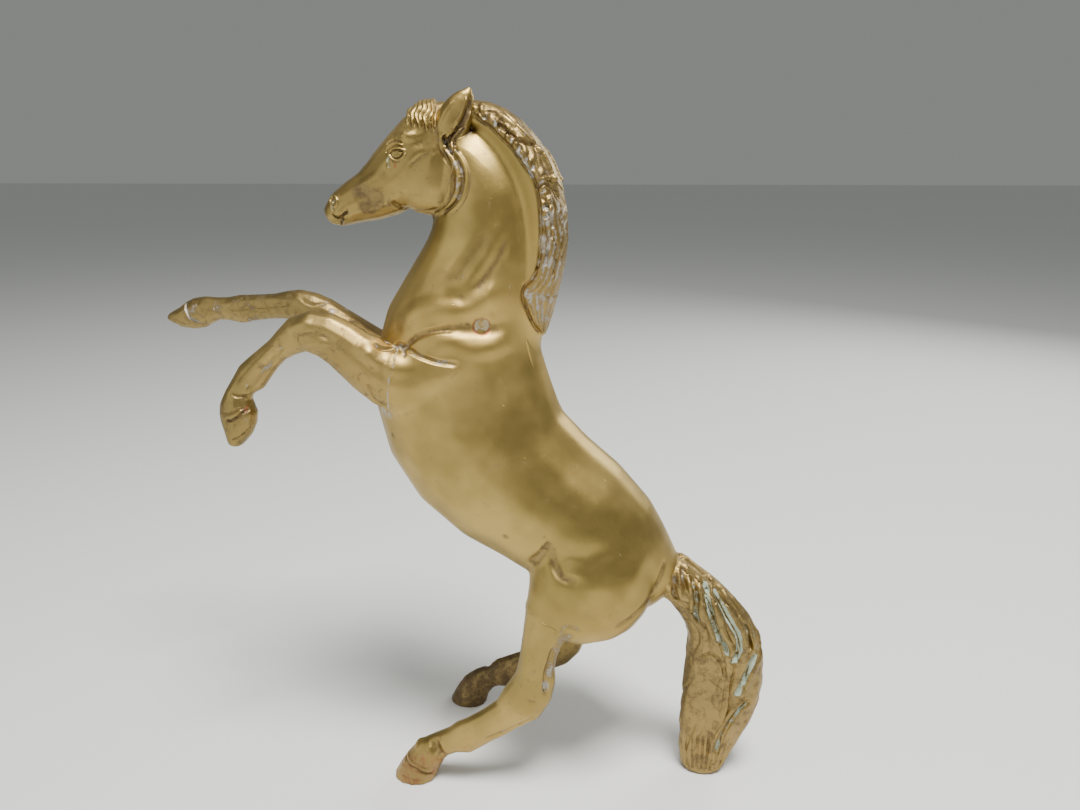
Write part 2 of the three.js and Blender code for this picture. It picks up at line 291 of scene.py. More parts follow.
def earForm(bm, side):
    # a fuller ear than the plain one of the frame: ovals bridged one to the next
    rings = []
    for x, y, z, halfLength, halfWidth in casting["ear"]:
        ring = bmesh.ops.create_circle(bm, cap_ends=False, segments=casting["earSides"],
                                       radius=1.0)["verts"]
        for vert in ring:
            along, across = vert.co.x * halfLength, vert.co.y * halfWidth
            place = np.array([x + along, midline + side * y + across, z - along * casting["earLean"]])
            vert.co = Vector(turned(place, headTurn["angle"])) * mm
        rings.append(ring)
    edges = [{edge for vert in ring for edge in vert.link_edges} for ring in rings]
    for low, high in zip(edges, edges[1:]):
        bmesh.ops.bridge_loops(bm, edges=list(low | high))
    for ring in (rings[0], rings[-1]):
        bmesh.ops.contextual_create(bm, geom=ring)


def joinedFrame():
    # the cast pieces and their fillers as one bmesh, each face marked with the piece it belongs to
    bm = bmesh.new()
    owners = []
    for name in casting["pieces"] + casting["fillers"] + [casting["plugged"]]:
        bm.from_mesh(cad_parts[name].data)
        host = "body_left" if name == casting["plugged"] else name.replace("_filler", "")
        owners += [pieceNames.index(host)] * (len(bm.faces) - len(owners))
    for side in (-1, 1):
        earForm(bm, side)
    owners += [pieceNames.index("head")] * (len(bm.faces) - len(owners))
    layer = bm.faces.layers.int.new("owner")
    for face, owner in zip(bm.faces, owners):
        face[layer] = owner
    bmesh.ops.remove_doubles(bm, verts=bm.verts, dist=1e-6)
    bm.normal_update()
    return bm, layer


def meshObject(name, bm):
    mesh = bpy.data.meshes.new(name)
    bm.to_mesh(mesh)
    return placed(name, mesh)


def applied(piece):
    graph = bpy.context.evaluated_depsgraph_get()
    mesh = bpy.data.meshes.new_from_object(piece.evaluated_get(graph))
    piece.modifiers.clear()
    piece.data = mesh


def castFigure():
    bm, layer = joinedFrame()
    tree = BVHTree.FromBMesh(bm)
    bm.faces.ensure_lookup_table()
    faceOwner = [face[layer] for face in bm.faces]
    for vert in bm.verts:
        vert.co += vert.normal * casting["swell"] * mm
    figure = meshObject("figure", bm)
    bm.free()
    remesh = figure.modifiers.new("skin", "REMESH")
    remesh.mode = "VOXEL"
    remesh.voxel_size = casting["grid"] * mm
    applied(figure)
    keepOutside(figure)
    mesh = figure.data
    owner = np.zeros(len(mesh.vertices), int)
    for vert in mesh.vertices:
        owner[vert.index] = faceOwner[tree.find_nearest(vert.co)[2]]
    broad = np.array([casting["broad"][name] for name in pieceNames])[owner]
    smoothed(figure, [(0.5, casting["broadRounds"])], broad)
    smoothed(figure, [(0.5, 3), (-0.53, 3)] * casting["fairRounds"])
    return figure, owner


def smoothed(piece, steps, weight=None):
    # a step is (factor, rounds); a negative factor lets the form out again after it has shrunk
    if weight is not None:
        group = piece.vertex_groups.new(name="weight")
        levels = np.round(weight, 2)
        for level in np.unique(levels):
            group.add([int(i) for i in np.flatnonzero(levels == level)], float(level), "REPLACE")
    for factor, rounds in steps:
        smooth = piece.modifiers.new("smooth", "SMOOTH")
        smooth.factor, smooth.iterations = factor, rounds
        if weight is not None:
            smooth.vertex_group = "weight"
    applied(piece)
    piece.vertex_groups.clear()


def keepOutside(figure):
    # the hollow of the body comes out as skins of its own: only the largest, the outside, stays
    bm = bmesh.new()
    bm.from_mesh(figure.data)
    bm.verts.ensure_lookup_table()
    seen, best = set(), []
    for start in bm.verts:
        if start in seen:
            continue
        island, queue = [], [start]
        seen.add(start)
        while queue:
            vert = queue.pop()
            island.append(vert)
            for edge in vert.link_edges:
                other = edge.other_vert(vert)
                if other not in seen:
                    seen.add(other)
                    queue.append(other)
        print("  island", len(island))
        if len(island) > len(best):
            best = island
    keep = set(best)
    bmesh.ops.delete(bm, geom=[v for v in bm.verts if v not in keep], context="VERTS")
    bm.to_mesh(figure.data)
    bm.free()


def curveThrough(points, step):
    # a Catmull-Rom curve through the points, with a point about every step
    points = np.array(points, float)
    if len(points) == 1:
        return points
    ends = np.vstack([2 * points[0] - points[1], points, 2 * points[-1] - points[-2]])
    out = []
    for a, b, c, d in zip(ends, ends[1:], ends[2:], ends[3:]):
        count = max(2, int(np.linalg.norm(c - b) / step))
        t = np.arange(count)[:, None] / count
        out.append(0.5 * (2 * b + (c - a) * t + (2 * a - 5 * b + 4 * c - d) * t ** 2
                          + (3 * b - a - 3 * c + d) * t ** 3))
    return np.vstack(out + [points[-1:]])


def nearestOn(points, path, chunk=4000):
    # for each point: distance to the path and the number of its nearest path point
    gap, index = np.empty(len(points)), np.empty(len(points), int)
    for start in range(0, len(points), chunk):
        part = points[start:start + chunk]
        square = ((part[:, None, :] - path[None, :, :]) ** 2).sum(-1)
        index[start:start + chunk] = square.argmin(1)
        gap[start:start + chunk] = np.sqrt(square.min(1))
    return gap, index


def wander(points, scale, seed):
    # smooth noise from a few crossed waves, about -1 to 1
    draw = np.random.default_rng(seed)
    total = np.zeros(len(points))
    for turn in range(7):
        way = draw.normal(size=points.shape[1])
        way /= np.linalg.norm(way)
        total += np.sin(points @ way * (2 * math.pi / scale) * draw.uniform(0.6, 1.7) + draw.uniform(0, 7))
    return total / 3.2


strokes = {
    "wide": 2.9,         # mm; a narrower line fades where the skin turns edge-on to the side view
    "paintSpread": 0.8,  # how wide the paint of a pressed or raised line is, as a share of the line
    "stainSpread": 1.15,
    "paintReach": 2.0,   # mm that the skin may have moved since the line was laid
}


class Clay:
    # the figure while it is worked: places in mm, pushes along the normal, and paint
    def __init__(self, piece, owner):
        self.piece = piece
        self.layers = {}
        self.later = []
        self.read(owner)

    def read(self, owner=None):
        mesh = self.piece.data
        count = len(mesh.vertices)
        self.place = np.empty(count * 3)
        mesh.vertices.foreach_get("co", self.place)
        self.place = self.place.reshape(-1, 3) / mm
        if owner is not None:
            self.owner = owner
        self.normals()
        self.trees = {}
        self.push = np.zeros(count)

    def normals(self):
        mesh = self.piece.data
        self.normal = np.empty(len(mesh.vertices) * 3)
        mesh.vertices.foreach_get("normal", self.normal)
        self.normal = self.normal.reshape(-1, 3)

    def tree(self, on):
        if on not in self.trees:
            mesh = self.piece.data
            names = pieceNames if on is None else on.split()
            wanted = self.isOn(*names)
            faces = [tuple(face.vertices) for face in mesh.polygons if wanted[face.vertices[0]]]
            self.trees[on] = BVHTree.FromPolygons([Vector(p) for p in self.place], faces)
        return self.trees[on]

    def trace(self, points, side, on=None, onHead=False, step=0.4):
        # lays an (x, z) line on the figure, seen from its left (side -1) or right (side 1)
        path = curveThrough(points, step)
        y = np.full(len(path), midline + side * 150.0)
        start = np.stack([path[:, 0], y, path[:, 1]], 1)
        middle = np.stack([path[:, 0], np.full(len(path), midline + side * 2.0), path[:, 1]], 1)
        if onHead:
            start, middle = turned(start, headTurn["angle"]), turned(middle, headTurn["angle"])
        tree = self.tree(on)
        out = []
        for a, b in zip(start, middle):
            hit = tree.ray_cast(Vector(a), Vector(b - a).normalized())[0]
            out.append(hit if hit is not None else tree.find_nearest(Vector(b))[0])
        return np.array(out)

    def weights(self, path, width, taper=1.5, reach=0.0):
        # with a reach the points may also lie that far above or below the line,
        # as they do in a groove that has been pressed since
        low, high = path.min(0) - width - reach, path.max(0) + width + reach
        near = np.flatnonzero(np.all((self.place > low) & (self.place < high), axis=1))
        if len(near) == 0:
            return near, np.zeros(0)
        gap, index = nearestOn(self.place[near], path)
        if reach:
            off = self.place[near] - path[index]
            rise = (off * self.normal[near]).sum(1)
            gap = np.sqrt(np.maximum((off ** 2).sum(1) - np.minimum(abs(rise), reach) ** 2, 0))
        weight = (1 - np.clip(gap / width, 0, 1) ** 2) ** 2
        if len(path) > 2 and taper:
            run = np.concatenate([[0], np.cumsum(np.linalg.norm(np.diff(path, axis=0), axis=1))])
            end = np.minimum(run, run[-1] - run)[index] / (width * taper)
            weight = weight * (0.12 + 0.88 * np.clip(end, 0, 1) ** 0.8)
        return near, weight

    def stroke(self, points, width, height, side, on=None, onHead=False, paint=None):
        path = self.trace(points, side, on, onHead, min(0.5, width / 2.5))
        near, weight = self.weights(path, width)
        if width < strokes["wide"]:
            facing = np.abs(self.normal[near, 1])
            weight = weight * np.clip((facing - 0.08) / 0.3, 0.12, 1)
        self.push[near] += weight * height
        spread = strokes["stainSpread"] if height == 0 else strokes["paintSpread"]
        for key, amount in (paint or {}).items():
            self.later.append((path, width * spread, key, amount))

    def carve(self, table, sides=(-1, 1), **how):
        # a row of a table is: points (x, z), width, height, and the paint if it has any
        for points, width, height, *paint in table.values():
            for side in sides:
                self.stroke(points, width, height, side, paint=paint[0] if paint else None, **how)
        if np.any(self.push):
            self.settle()

    def settle(self):
        # moves the surface by the pushes so far
        self.place += self.normal * self.push[:, None]
        self.push[:] = 0
        self.write()

    def write(self):
        mesh = self.piece.data
        mesh.vertices.foreach_set("co", (self.place * mm).ravel())
        mesh.update()
        self.normals()
        self.trees = {}

    def refine(self, near):
        # halves the mesh's squares where near says so
        mesh = self.piece.data
        layer = mesh.attributes.get("owner") or mesh.attributes.new("owner", "INT", "FACE")
        first = np.array([face.vertices[0] for face in mesh.polygons])
        layer.data.foreach_set("value", self.owner[first].astype(np.int32))
        bm = bmesh.new()
        bm.from_mesh(mesh)
        owners = bm.faces.layers.int["owner"]
        centre = np.array([face.calc_center_median() for face in bm.faces]) / mm
        chosen = near(centre, self.owner[first])
        bm.faces.ensure_lookup_table()
        edges = {edge for index in np.flatnonzero(chosen) for edge in bm.faces[index].edges}
        bmesh.ops.subdivide_edges(bm, edges=list(edges), cuts=1, use_grid_fill=True, smooth=0.35)
        bm.to_mesh(mesh)
        owner = np.zeros(len(bm.verts), int)
        for face in bm.faces:
            for vert in face.verts:
                owner[vert.index] = face[owners]
        bm.free()
        self.read(owner)

    def soften(self, rounds, weight):
        smoothed(self.piece, [(0.5, rounds)], weight)
        self.read()

    def isOn(self, *names):
        return np.isin(self.owner, [pieceNames.index(name) for name in names])

    def finishPaint(self):
        for key in ("patina", "residue", "verdigris", "copper"):
            self.layers[key] = np.zeros(len(self.place))
        for path, width, key, amount in self.later:
            near, weight = self.weights(path, width * 1.1, taper=0.8, reach=strokes["paintReach"])
            layer = self.layers[key]
            layer[near] = np.maximum(layer[near], np.clip(weight * 1.7, 0, 1) * amount)


# lines on the neck, shoulders and body, in mm as seen from the left
dark = {"patina": 0.75}
bodyMuscles = {
    "neckRidgeFront": ([(-1, 228), (6.7, 238.5), (12.2, 244.5), (17, 253)], 6.0, 0.5),
    "neckGrooveFront": ([(3.4, 231.3), (9.1, 236.2), (14.6, 242.4), (21, 252)], 4.6, -0.75,
                        {"patina": 0.4}),
    "neckRidgeMiddle": ([(11.5, 231), (17, 239.5), (21.5, 246), (25.5, 256)], 5.4, 0.75),
    "neckGrooveMiddle": ([(15.3, 228.5), (20.8, 236), (24.4, 243), (28, 252)], 4.4, -0.75),
    "neckRidgeBack": ([(21.8, 228.5), (28.3, 238.5), (32.8, 247.5)], 5.4, 0.7),
    "shoulderRoll": ([(-16.2, 213.9), (-7.2, 220.2), (-0.3, 222.2), (6.1, 221.9), (13.9, 222.6),
                      (18.5, 225.3), (23, 227.5), (28.9, 226.4), (35.9, 222.5)], 7.0, 1.7),
    "aboveRoll": ([(0.1, 228.4), (6, 230.2), (10.5, 229)], 4.6, 0.7),
    "dent": ([(8.2, 226.2), (12.8, 226)], 3.0, -1.0, {"patina": 0.3}),
    "lowerRoll": ([(-8.8, 206.2), (-0.1, 208.6), (6.3, 209), (17, 207), (24.4, 207.6), (32.2, 211)],
                  6.6, 1.4),
    "breast": ([(-29, 205), (-22.4, 211.5), (-18.2, 217.5), (-14.2, 225)], 6.0, 0.9),
    "point": ([(-20.5, 198.8), (-14.5, 200.3), (-8.5, 201.7)], 7.0, 1.7),
    "underPoint": ([(-8, 190), (0, 186.5), (10, 187)], 10.0, -0.8),
    "stifle": ([(57, 123.0), (63.1, 125.4), (69.5, 126.2)], 10.0, 1.6),
    "stifleLow": ([(55, 117.4), (60, 115.2), (65, 116.4)], 6.0, 0.8),
    "flankFold": ([(44.4, 120), (46.5, 114.6), (47.6, 110.2), (50, 104.5)], 4.6, 0.8),
    "thighBand": ([(56, 101), (66, 100), (78, 101.5)], 8.0, -0.7),
    "haunchBack": ([(88, 128), (84, 114), (76, 103)], 9.0, 0.6),
    "loinHollow": ([(36, 158), (46, 146), (52, 136)], 12.0, -0.8),
}
bodyCreases = {
    "shoulderGroove": ([(-14.6, 205.5), (-10.3, 209.2), (-6.8, 211.6), (-1.7, 213.4), (4.7, 214.4),
                        (9, 214.6)], 2.1, -1.2, {"patina": 0.45}),
    "shoulderGrooveEnd": ([(2.7, 214.4), (12.4, 215), (21.4, 214.6), (29, 216)], 5.0, -0.7),
    "legJoint": ([(-24.7, 208.4), (-20.1, 205.9), (-15.9, 207.1), (-12.1, 206.4), (-7.5, 204.4),
                  (-3, 202.7), (1.8, 201.4), (9.8, 200.4)], 1.6, -1.2, {"residue": 0.62}),
    "legJointSpur": ([(-15.9, 207.5), (-13, 205), (-12.4, 203)], 1.0, -0.6, {"residue": 0.9}),
    "flank": ([(38.1, 112.5), (43.2, 118.7), (46.4, 123.4), (48, 126.5)], 3.0, -1.1, dark),
    "flankInner": ([(48.6, 124.6), (49, 118.8), (51, 113.9), (54.3, 111.1), (60.5, 110.4)], 3.0, -0.95,
                   {"patina": 0.6}),
    "gaskinFold": ([(52.9, 84.6), (54.8, 89.9), (59.2, 89.6), (62.6, 87.1)], 1.6, -0.6, {"residue": 0.6}),
    "buttock": ([(96, 113), (94, 106), (90.5, 99.5), (84, 93.5), (76, 88.5)], 1.8, -0.6, {"patina": 0.7}),
    "plugRing": ([(18.5 + 3.1 * math.cos(a), 215 + 3.1 * math.sin(a))
                  for a in np.linspace(0, 2 * math.pi, 13)], 1.0, -0.4, {"copper": 0.9, "patina": 0.7}),
    "elbowFold": ([(-27, 192.6), (-26.4, 187.4), (-24.1, 184), (-20, 182.6)], 1.2, -0.9, dark),
}
stains = {
    "girth": ([(-27, 175.6), (-23.4, 177.3), (-21, 174)], 3.0, 0, {"residue": 0.85}),
    "girthLow": ([(-22, 166), (-20, 168)], 2.2, 0, {"patina": 0.7}),
    "neckFront": ([(-8, 226), (-2, 232), (6, 238)], 5.0, 0, {"patina": 0.35}),
    "chest": ([(-20, 212), (-15, 216), (-13, 211)], 5.0, 0, {"patina": 0.5}),
    "bellyLine": ([(-8, 133), (6, 121), (22, 111), (38, 106)], 4.5, 0, {"patina": 0.45}),
    "bellySpot": ([(27, 127), (30, 125.5)], 1.6, 0, {"patina": 0.9}),
    "buttockStain": ([(72, 92), (82, 97)], 6.0, 0, {"patina": 0.35}),
    "shoulderStain": ([(0, 197), (16, 193), (30, 190)], 7.0, 0, {"patina": 0.3}),
    "rump": ([(74, 152), (80, 142)], 8.0, 0, {"copper": 0.35}),
}

# lines on the head, before it is turned
headForms = {
    "brow": ([(-19.2, 289.6), (-16.6, 289.3), (-13.1, 288.7), (-10.4, 288.3)], 3.2, 1.5),
    "eyeSocket": ([(-20, 282.3), (-16.5, 282.3)], 4.4, -0.7),
    "temple": ([(-12.5, 285.6), (-8, 286.6), (-4.6, 288.4)], 3.4, -0.9, {"patina": 0.25}),
    "cheek": ([(-8.5, 269.5), (-6.5, 274)], 11.0, 0.8),
    "cheekbone": ([(-36, 268.5), (-29, 271.5), (-23, 275)], 3.6, 0.7),
    "muzzleHollow": ([(-36, 263.8), (-30, 264.5), (-25.5, 267.5)], 5.0, -0.9),
    "nostrilMound": ([(-44.5, 264.8), (-42.3, 266.2)], 3.6, 0.8),
    "chinBall": ([(-39.5, 256.4), (-36.5, 256.8)], 3.0, 0.6),
    "lipRoll": ([(-46, 260.2), (-43.4, 259.6), (-41, 260.6)], 1.8, 0.4),
}
headLines = {
    "cheekEdge": ([(-21.4, 264), (-19, 261.9), (-14.5, 260.4), (-7.8, 259.9), (-1.8, 261.2), (2.0, 265),
                   (3.4, 269.7), (3.2, 275), (1.2, 280.2), (-1.2, 284.7)], 1.5, -0.75, {"patina": 0.6}),
    "jawRopeInner": ([(-1.0, 290.5), (-0.2, 285.4), (2.8, 281.4), (5.1, 277.2), (5.8, 272.7),
                      (4.9, 267.5), (1.5, 262.3), (-4.2, 258.6)], 1.3, 0.9),
    "jawRopeGroove": ([(0.8, 289.5), (1.5, 285.1), (4.5, 281.4), (6.9, 277.2), (7.6, 272.7), (6.6, 267.3),
                       (3.6, 262.6), (-1.5, 258.9)], 1.0, -0.9, {"patina": 0.9}),
    "jawRopeOuter": ([(3.3, 288.6), (3.2, 285), (6.4, 281.4), (8.6, 277.2), (9.3, 272.7), (8.2, 267.2),
                      (5.2, 262.4), (0.6, 258.8)], 1.3, 0.8),
    "cheekVein": ([(-13.5, 277.5), (-9.7, 280.2), (-5.7, 282.4), (-2.6, 283.2)], 1.6, -0.35,
                  {"patina": 0.45}),
    "nostrilTail": ([(-46.0, 262.5), (-45.5, 260.9), (-44.5, 259.6)], 0.8, -0.5, {"residue": 0.7}),
    "earBack": ([(4.6, 302.2), (0.8, 297.2), (-2.4, 291.6)], 1.4, 0.3),
}
faceLines = {
    "eyeball": ([(-19.0, 282.1), (-17.6, 282.2)], 2.3, 0.95),
    "upperLid": ([(-21.9, 281.3), (-20.9, 283.2), (-19.1, 284.2), (-17.3, 284.3), (-15.9, 283.8),
                  (-14.8, 283.0)], 0.75, 0.75),
    "lowerLid": ([(-21.6, 281.6), (-20.7, 280.8), (-19.4, 279.9), (-17.8, 279.8), (-16.2, 280.7),
                  (-14.7, 282.5)], 0.7, 0.65),
    "lidFold": ([(-22.9, 282.6), (-21.6, 284.3), (-19.3, 285.3), (-17.3, 285.2), (-15.4, 284.5)],
                0.5, -0.55, {"residue": 0.5}),
    "lidRoll": ([(-22.9, 284.2), (-21.2, 285.6), (-19.0, 286.2), (-17, 285.9), (-15.6, 285.3)],
                0.65, 0.5),
    "browFold": ([(-22.6, 285.8), (-20.5, 287.1), (-18.6, 287.2), (-17, 286.8), (-15.8, 286)], 0.55, -0.6,
                 {"residue": 0.45}),
    "eyeLineUpper": ([(-21.1, 281.8), (-20.2, 283.2), (-18.5, 283.6), (-16.6, 283.3), (-15.4, 282.9)],
                     0.45, -0.55, {"patina": 1.0}),
    "eyeLineLower": ([(-21.0, 281.7), (-20.1, 280.8), (-18.4, 280.5), (-16.8, 281.1), (-15.4, 282.5)],
                     0.45, -0.5, {"patina": 1.0}),
    "tearDuct": ([(-21.6, 281.2), (-22.1, 279.8), (-21.9, 278.2), (-22.0, 276.6)], 0.8, -0.5,
                 {"verdigris": 0.7}),
    "nostrilHollow": ([(-45.4, 264.4), (-44.8, 263.2)], 1.2, -1.1, {"residue": 0.8}),
    "nostrilRim": ([(-46.6, 262.8), (-46.5, 264.6), (-45.2, 266.0), (-43.8, 265.0), (-43.6, 263.2),
                    (-44.4, 262.0), (-45.6, 261.9)], 0.8, 0.6),
    "mouth": ([(-46.0, 259.4), (-45, 258.2), (-43.6, 257.5), (-42, 257.9), (-40.9, 258.9),
               (-39.2, 259.9)], 0.75, -1.0, {"patina": 1.0}),
    "lipSlit": ([(-43.1, 254.2), (-42.2, 255.9), (-41.2, 257.6)], 0.7, -1.0, {"patina": 0.9}),
    "earHollow": ([(11.4, 302.6), (10.8, 299.2), (9.6, 296.0), (7.6, 292.8), (4.8, 289.8), (2.2, 286.8)],
                  1.7, -1.6, {"patina": 1.1}),
    "earFold": ([(9.8, 303.2), (8.6, 299.4), (7.2, 296.2), (5.0, 293.2)], 0.8, 0.5),
}
faceStains = {
    "muzzleMottle": ([(-38.4, 266), (-34.2, 267.4), (-30.5, 266.7), (-27.6, 265.1), (-29, 262.9),
                      (-32.4, 262.2), (-36.2, 263)], 4.6, 0, {"patina": 0.9}),
    "muzzleDark": ([(-36.5, 266.2), (-33, 266.6), (-30.6, 264.4), (-31.6, 262.6)], 1.5, 0,
                   {"patina": 1.05}),
    "jawMottle": ([(-24, 262.5), (-20.5, 264)], 3.0, 0, {"patina": 0.85, "residue": 0.4}),
    "eyeFront": ([(-25.5, 276.5), (-24.0, 272)], 2.4, 0, {"patina": 0.6}),
    "cheekMottle": ([(-3, 263.5), (0.5, 267)], 3.0, 0, {"patina": 0.6}),
    "eyeCopper": ([(-19.8, 277.4), (-18.4, 277.8)], 1.5, 0, {"copper": 1.0}),
    "pollCopper": ([(-3, 300), (1, 300.6)], 3.0, 0, {"copper": 0.5}),
    "ropeResidue": ([(0, 287), (5, 280), (7.4, 272.7), (4.5, 264)], 1.9, 0, {"residue": 0.72}),
    "lowerLip": ([(-42.6, 255.4), (-41.4, 256.2)], 1.6, 0, {"residue": 0.6}),
}
forelock = {
    "front": -14.6,
    "back": -2.4,
    "foot": 290.8,
    "spacing": 1.75,
    "lean": 0.16,
    "depth": 1.1,
    "fine": 0.12,
    "proud": 1.2,
}
tuft = {
    "locks": [
        [(7.2, 293.2), (5.0, 291.4), (2.4, 289.6), (0.9, 287.0), (1.0, 283.8)],
        [(7.8, 292.0), (5.6, 289.8), (3.8, 287.6), (3.6, 285.0), (5.0, 282.6)],
    ],
    "width": 1.0,
    "height": 0.8,
}

# lines on the legs
nearForeleg = {
    "forearm": ([(-31, 209.4), (-24.4, 203.6), (-20, 200.6)], 5.0, 1.0),
    "kneeCap": ([(-58.5, 214.5), (-54, 216.4), (-49, 216.4)], 3.6, 0.7),
    "kneeCrease": ([(-57.4, 210.2), (-51.1, 212.4), (-45.1, 212.0), (-40.1, 210.4)], 2.0, -0.8,
                   {"patina": 0.6}),
    "kneeInside": ([(-53.7, 207.6), (-47.9, 209.2), (-41.8, 207.8)], 1.8, 0.5, {"patina": 0.3}),
    "tendonGroove": ([(-63, 206), (-69.5, 199.2), (-74.2, 194.4), (-79.3, 188.8), (-82.3, 185.6)],
                     1.3, -1.0, {"residue": 0.55}),
    "bone": ([(-66, 206.8), (-73.3, 200.2), (-79.8, 194.2), (-85.4, 188.0)], 2.0, 0.55),
    "fetlockCrease": ([(-90, 185.2), (-86.6, 183.9), (-82.2, 183.6)], 1.1, -0.8, {"patina": 0.5}),
    "pasternBall": ([(-89.5, 180.3), (-86.4, 180.6)], 4.0, 0.7),
    "bandUpper": ([(-94, 176.6), (-90, 176.9), (-87.1, 178.0), (-83.6, 178.6)], 0.75, -0.5, dark),
    "band": ([(-92.8, 174.9), (-89.6, 175.3), (-86.8, 176.7), (-84.4, 178.0)], 0.8, 0.45),
    "coronet": ([(-92, 173.4), (-89.2, 173.4), (-86.6, 174.9), (-84.2, 176.8), (-82.2, 178)], 0.85, -0.9,
                {"patina": 1.0}),
    "hoofRing": ([(-90.4, 164.8), (-87.8, 165.5), (-85.4, 167), (-82.6, 169.6)], 0.6, -0.45,
                 {"patina": 0.8}),
}
nearForelegStains = {
    "heelCopper": ([(-84, 178.8), (-82.6, 178.2)], 2.0, 0, {"copper": 1.0}),
    "heelPale": ([(-84.4, 174.5), (-83.2, 171)], 1.6, 0, {"residue": 0.6}),
    "tendonPale": ([(-80.6, 189.5), (-82.0, 187.6)], 1.8, 0, {"residue": 0.9}),
    "shin": ([(-64, 208), (-75, 197), (-86, 186)], 4.0, 0, {"patina": 0.45}),
    "kneeUnder": ([(-60, 206), (-50, 206), (-42, 205)], 3.5, 0, {"patina": 0.5}),
    "forearmUnder": ([(-36, 200), (-30, 192)], 4.0, 0, {"patina": 0.35}),
    "pastern": ([(-90, 180), (-86, 172)], 5.0, 0, {"patina": 0.3}),
}
farForeleg = {
    "coronet": ([(-133.2, 216), (-131.2, 212.8), (-129.0, 209), (-124.6, 206.2)], 0.9, -1.0,
                {"residue": 0.9}),
    "dimple": ([(-118.4, 213.4), (-117.2, 213.9)], 2.4, -1.5, {"residue": 0.9}),
    "tendonGroove": ([(-112, 212.9), (-101.7, 214.1), (-89.4, 215.4), (-78.7, 216.9)], 1.4, -0.8,
                     {"patina": 0.5}),
    "bone": ([(-110, 217), (-98, 218.2), (-84, 219.6)], 2.0, 0.5),
    "kneeCrease": ([(-74, 219.5), (-68, 217), (-62, 217.5)], 1.5, -0.6, {"patina": 0.6}),
    "hoofRing": ([(-137.6, 208.8), (-134.5, 206.8), (-131, 205.8)], 0.6, -0.4, dark),
    "pasternBall": ([(-125.6, 213.4), (-123.4, 213)], 4.0, 0.6),
}
farForelegStains = {
    "kneePale": ([(-60.5, 215), (-57, 212)], 2.0, 0, {"residue": 0.9}),
    "cannon": ([(-110, 212), (-92, 214)], 4.0, 0, {"patina": 0.6}),
    "forearm": ([(-54, 210), (-40, 204)], 6.0, 0, {"patina": 0.8}),
}
nearHindleg = {
    "tendonHollow": ([(50.2, 78), (48.3, 70.4), (46.6, 63.6), (46.4, 52.6)], 2.0, -1.2, {"patina": 0.35}),
    "tendonEye": ([(46.6, 61.0), (46.4, 54.0)], 1.5, -0.9, {"residue": 1.0}),
    "tendon": ([(50.4, 66), (49.2, 56)], 1.6, 0.5),
    "hockPoint": ([(49.6, 51.2), (49.2, 47.2)], 4.2, 2.0),
    "shinFront": ([(37.5, 74), (36.6, 62), (36.0, 54)], 3.0, 0.6),
    "hockFold": ([(37.6, 52.5), (40.4, 50.0), (42.6, 50.6)], 1.6, -0.5, {"patina": 0.4}),
    "cannonGroove": ([(41.8, 41.4), (35.3, 36.3), (26.8, 31.4), (18.5, 27)], 1.4, -0.8, {"patina": 0.4}),
    "tendonLow": ([(37.5, 36.4), (29.8, 31.2), (21.1, 26.2)], 1.6, 0.5),
    "fetlockBump": ([(9.5, 31.6), (4, 29.4)], 4.5, 0.8),
    "waist": ([(-6.2, 23.2), (-3.6, 18), (-1.0, 12)], 3.6, -2.2, {"patina": 0.5}),
    "ergot": ([(5.4, 14), (7.4, 12.4)], 3.4, 2.3),
    "knob": ([(-14, 18.8), (-11.4, 18.2)], 4.0, 1.7),
    "pasternBall": ([(-9.6, 16.6), (-7.6, 15.2)], 4.4, 0.6),
    "coronet": ([(-21.4, 11.6), (-18.0, 9.4), (-13.6, 8.4), (-10, 6.6), (-6.4, 5.2)], 0.9, -0.9,
                {"patina": 0.85}),
    "band": ([(-19.8, 12.9), (-16.4, 11.2), (-12, 9.9), (-8.2, 8.2)], 0.9, 0.5),
    "heel": ([(-4.6, 8.6), (-5.6, 5.2), (-6.6, 2.4)], 1.0, -0.6, {"patina": 0.7}),
    "hoofRing": ([(-21.2, 3.6), (-16, 3.2), (-11, 2.4)], 0.6, -0.35, {"patina": 0.6}),
}
nearHindlegStains = {
    "pastern": ([(-14, 14), (-8, 12), (-16, 6)], 6.0, 0, {"copper": 0.55}),
    "pasternDark": ([(-14, 8), (-8, 10)], 5.0, 0, {"patina": 0.4}),
    "cannonPale": ([(31, 33.5), (26, 31)], 1.0, 0, {"residue": 0.6}),
    "inner": ([(58, 87), (53, 80), (50, 70), (48.6, 60)], 3.0, 0, {"residue": 0.5, "patina": 0.75}),
    "hockPale": ([(46.8, 60), (46.6, 54.6)], 1.6, 0, {"residue": 1.1}),
    "hockDark": ([(42, 47), (36, 42)], 5.0, 0, {"patina": 0.25}),
}
farHindleg = {
    "waist": ([(5.4, 22.6), (7.4, 17.4), (9.4, 12)], 3.4, -1.2, dark),
    "pasternBall": ([(0.8, 16.6), (2.8, 15.2)], 4.2, 0.7),
    "coronet": ([(-9.6, 11.6), (-6.6, 9.6), (-2.6, 8.4), (1, 6.6), (4.6, 5.2)], 0.9, -0.9,
                {"patina": 1.0}),
    "band": ([(-8.4, 12.9), (-5.2, 11.2), (-1, 9.9), (2.8, 8.2)], 0.9, 0.5),
    "cannonGroove": ([(44, 40), (36, 33.6), (28, 29), (22, 26)], 1.4, -0.8, {"patina": 0.6}),
    "tendonHollow": ([(58.5, 74), (57, 64), (55.6, 54)], 2.0, -1.2, dark),
}
# painted shade: broad dark brown over the far hind leg's hoof and cannon, for the shade that falls on that
# leg
farHindlegShade = {
    "hoofShade": ([(-8, 4), (-2, 10), (6, 12), (0, 5)], 9.0, 0, {"patina": 1.0}),
    "cannonShade": ([(14, 19), (26, 26), (38, 32)], 9.0, 0, {"patina": 0.8}),
}

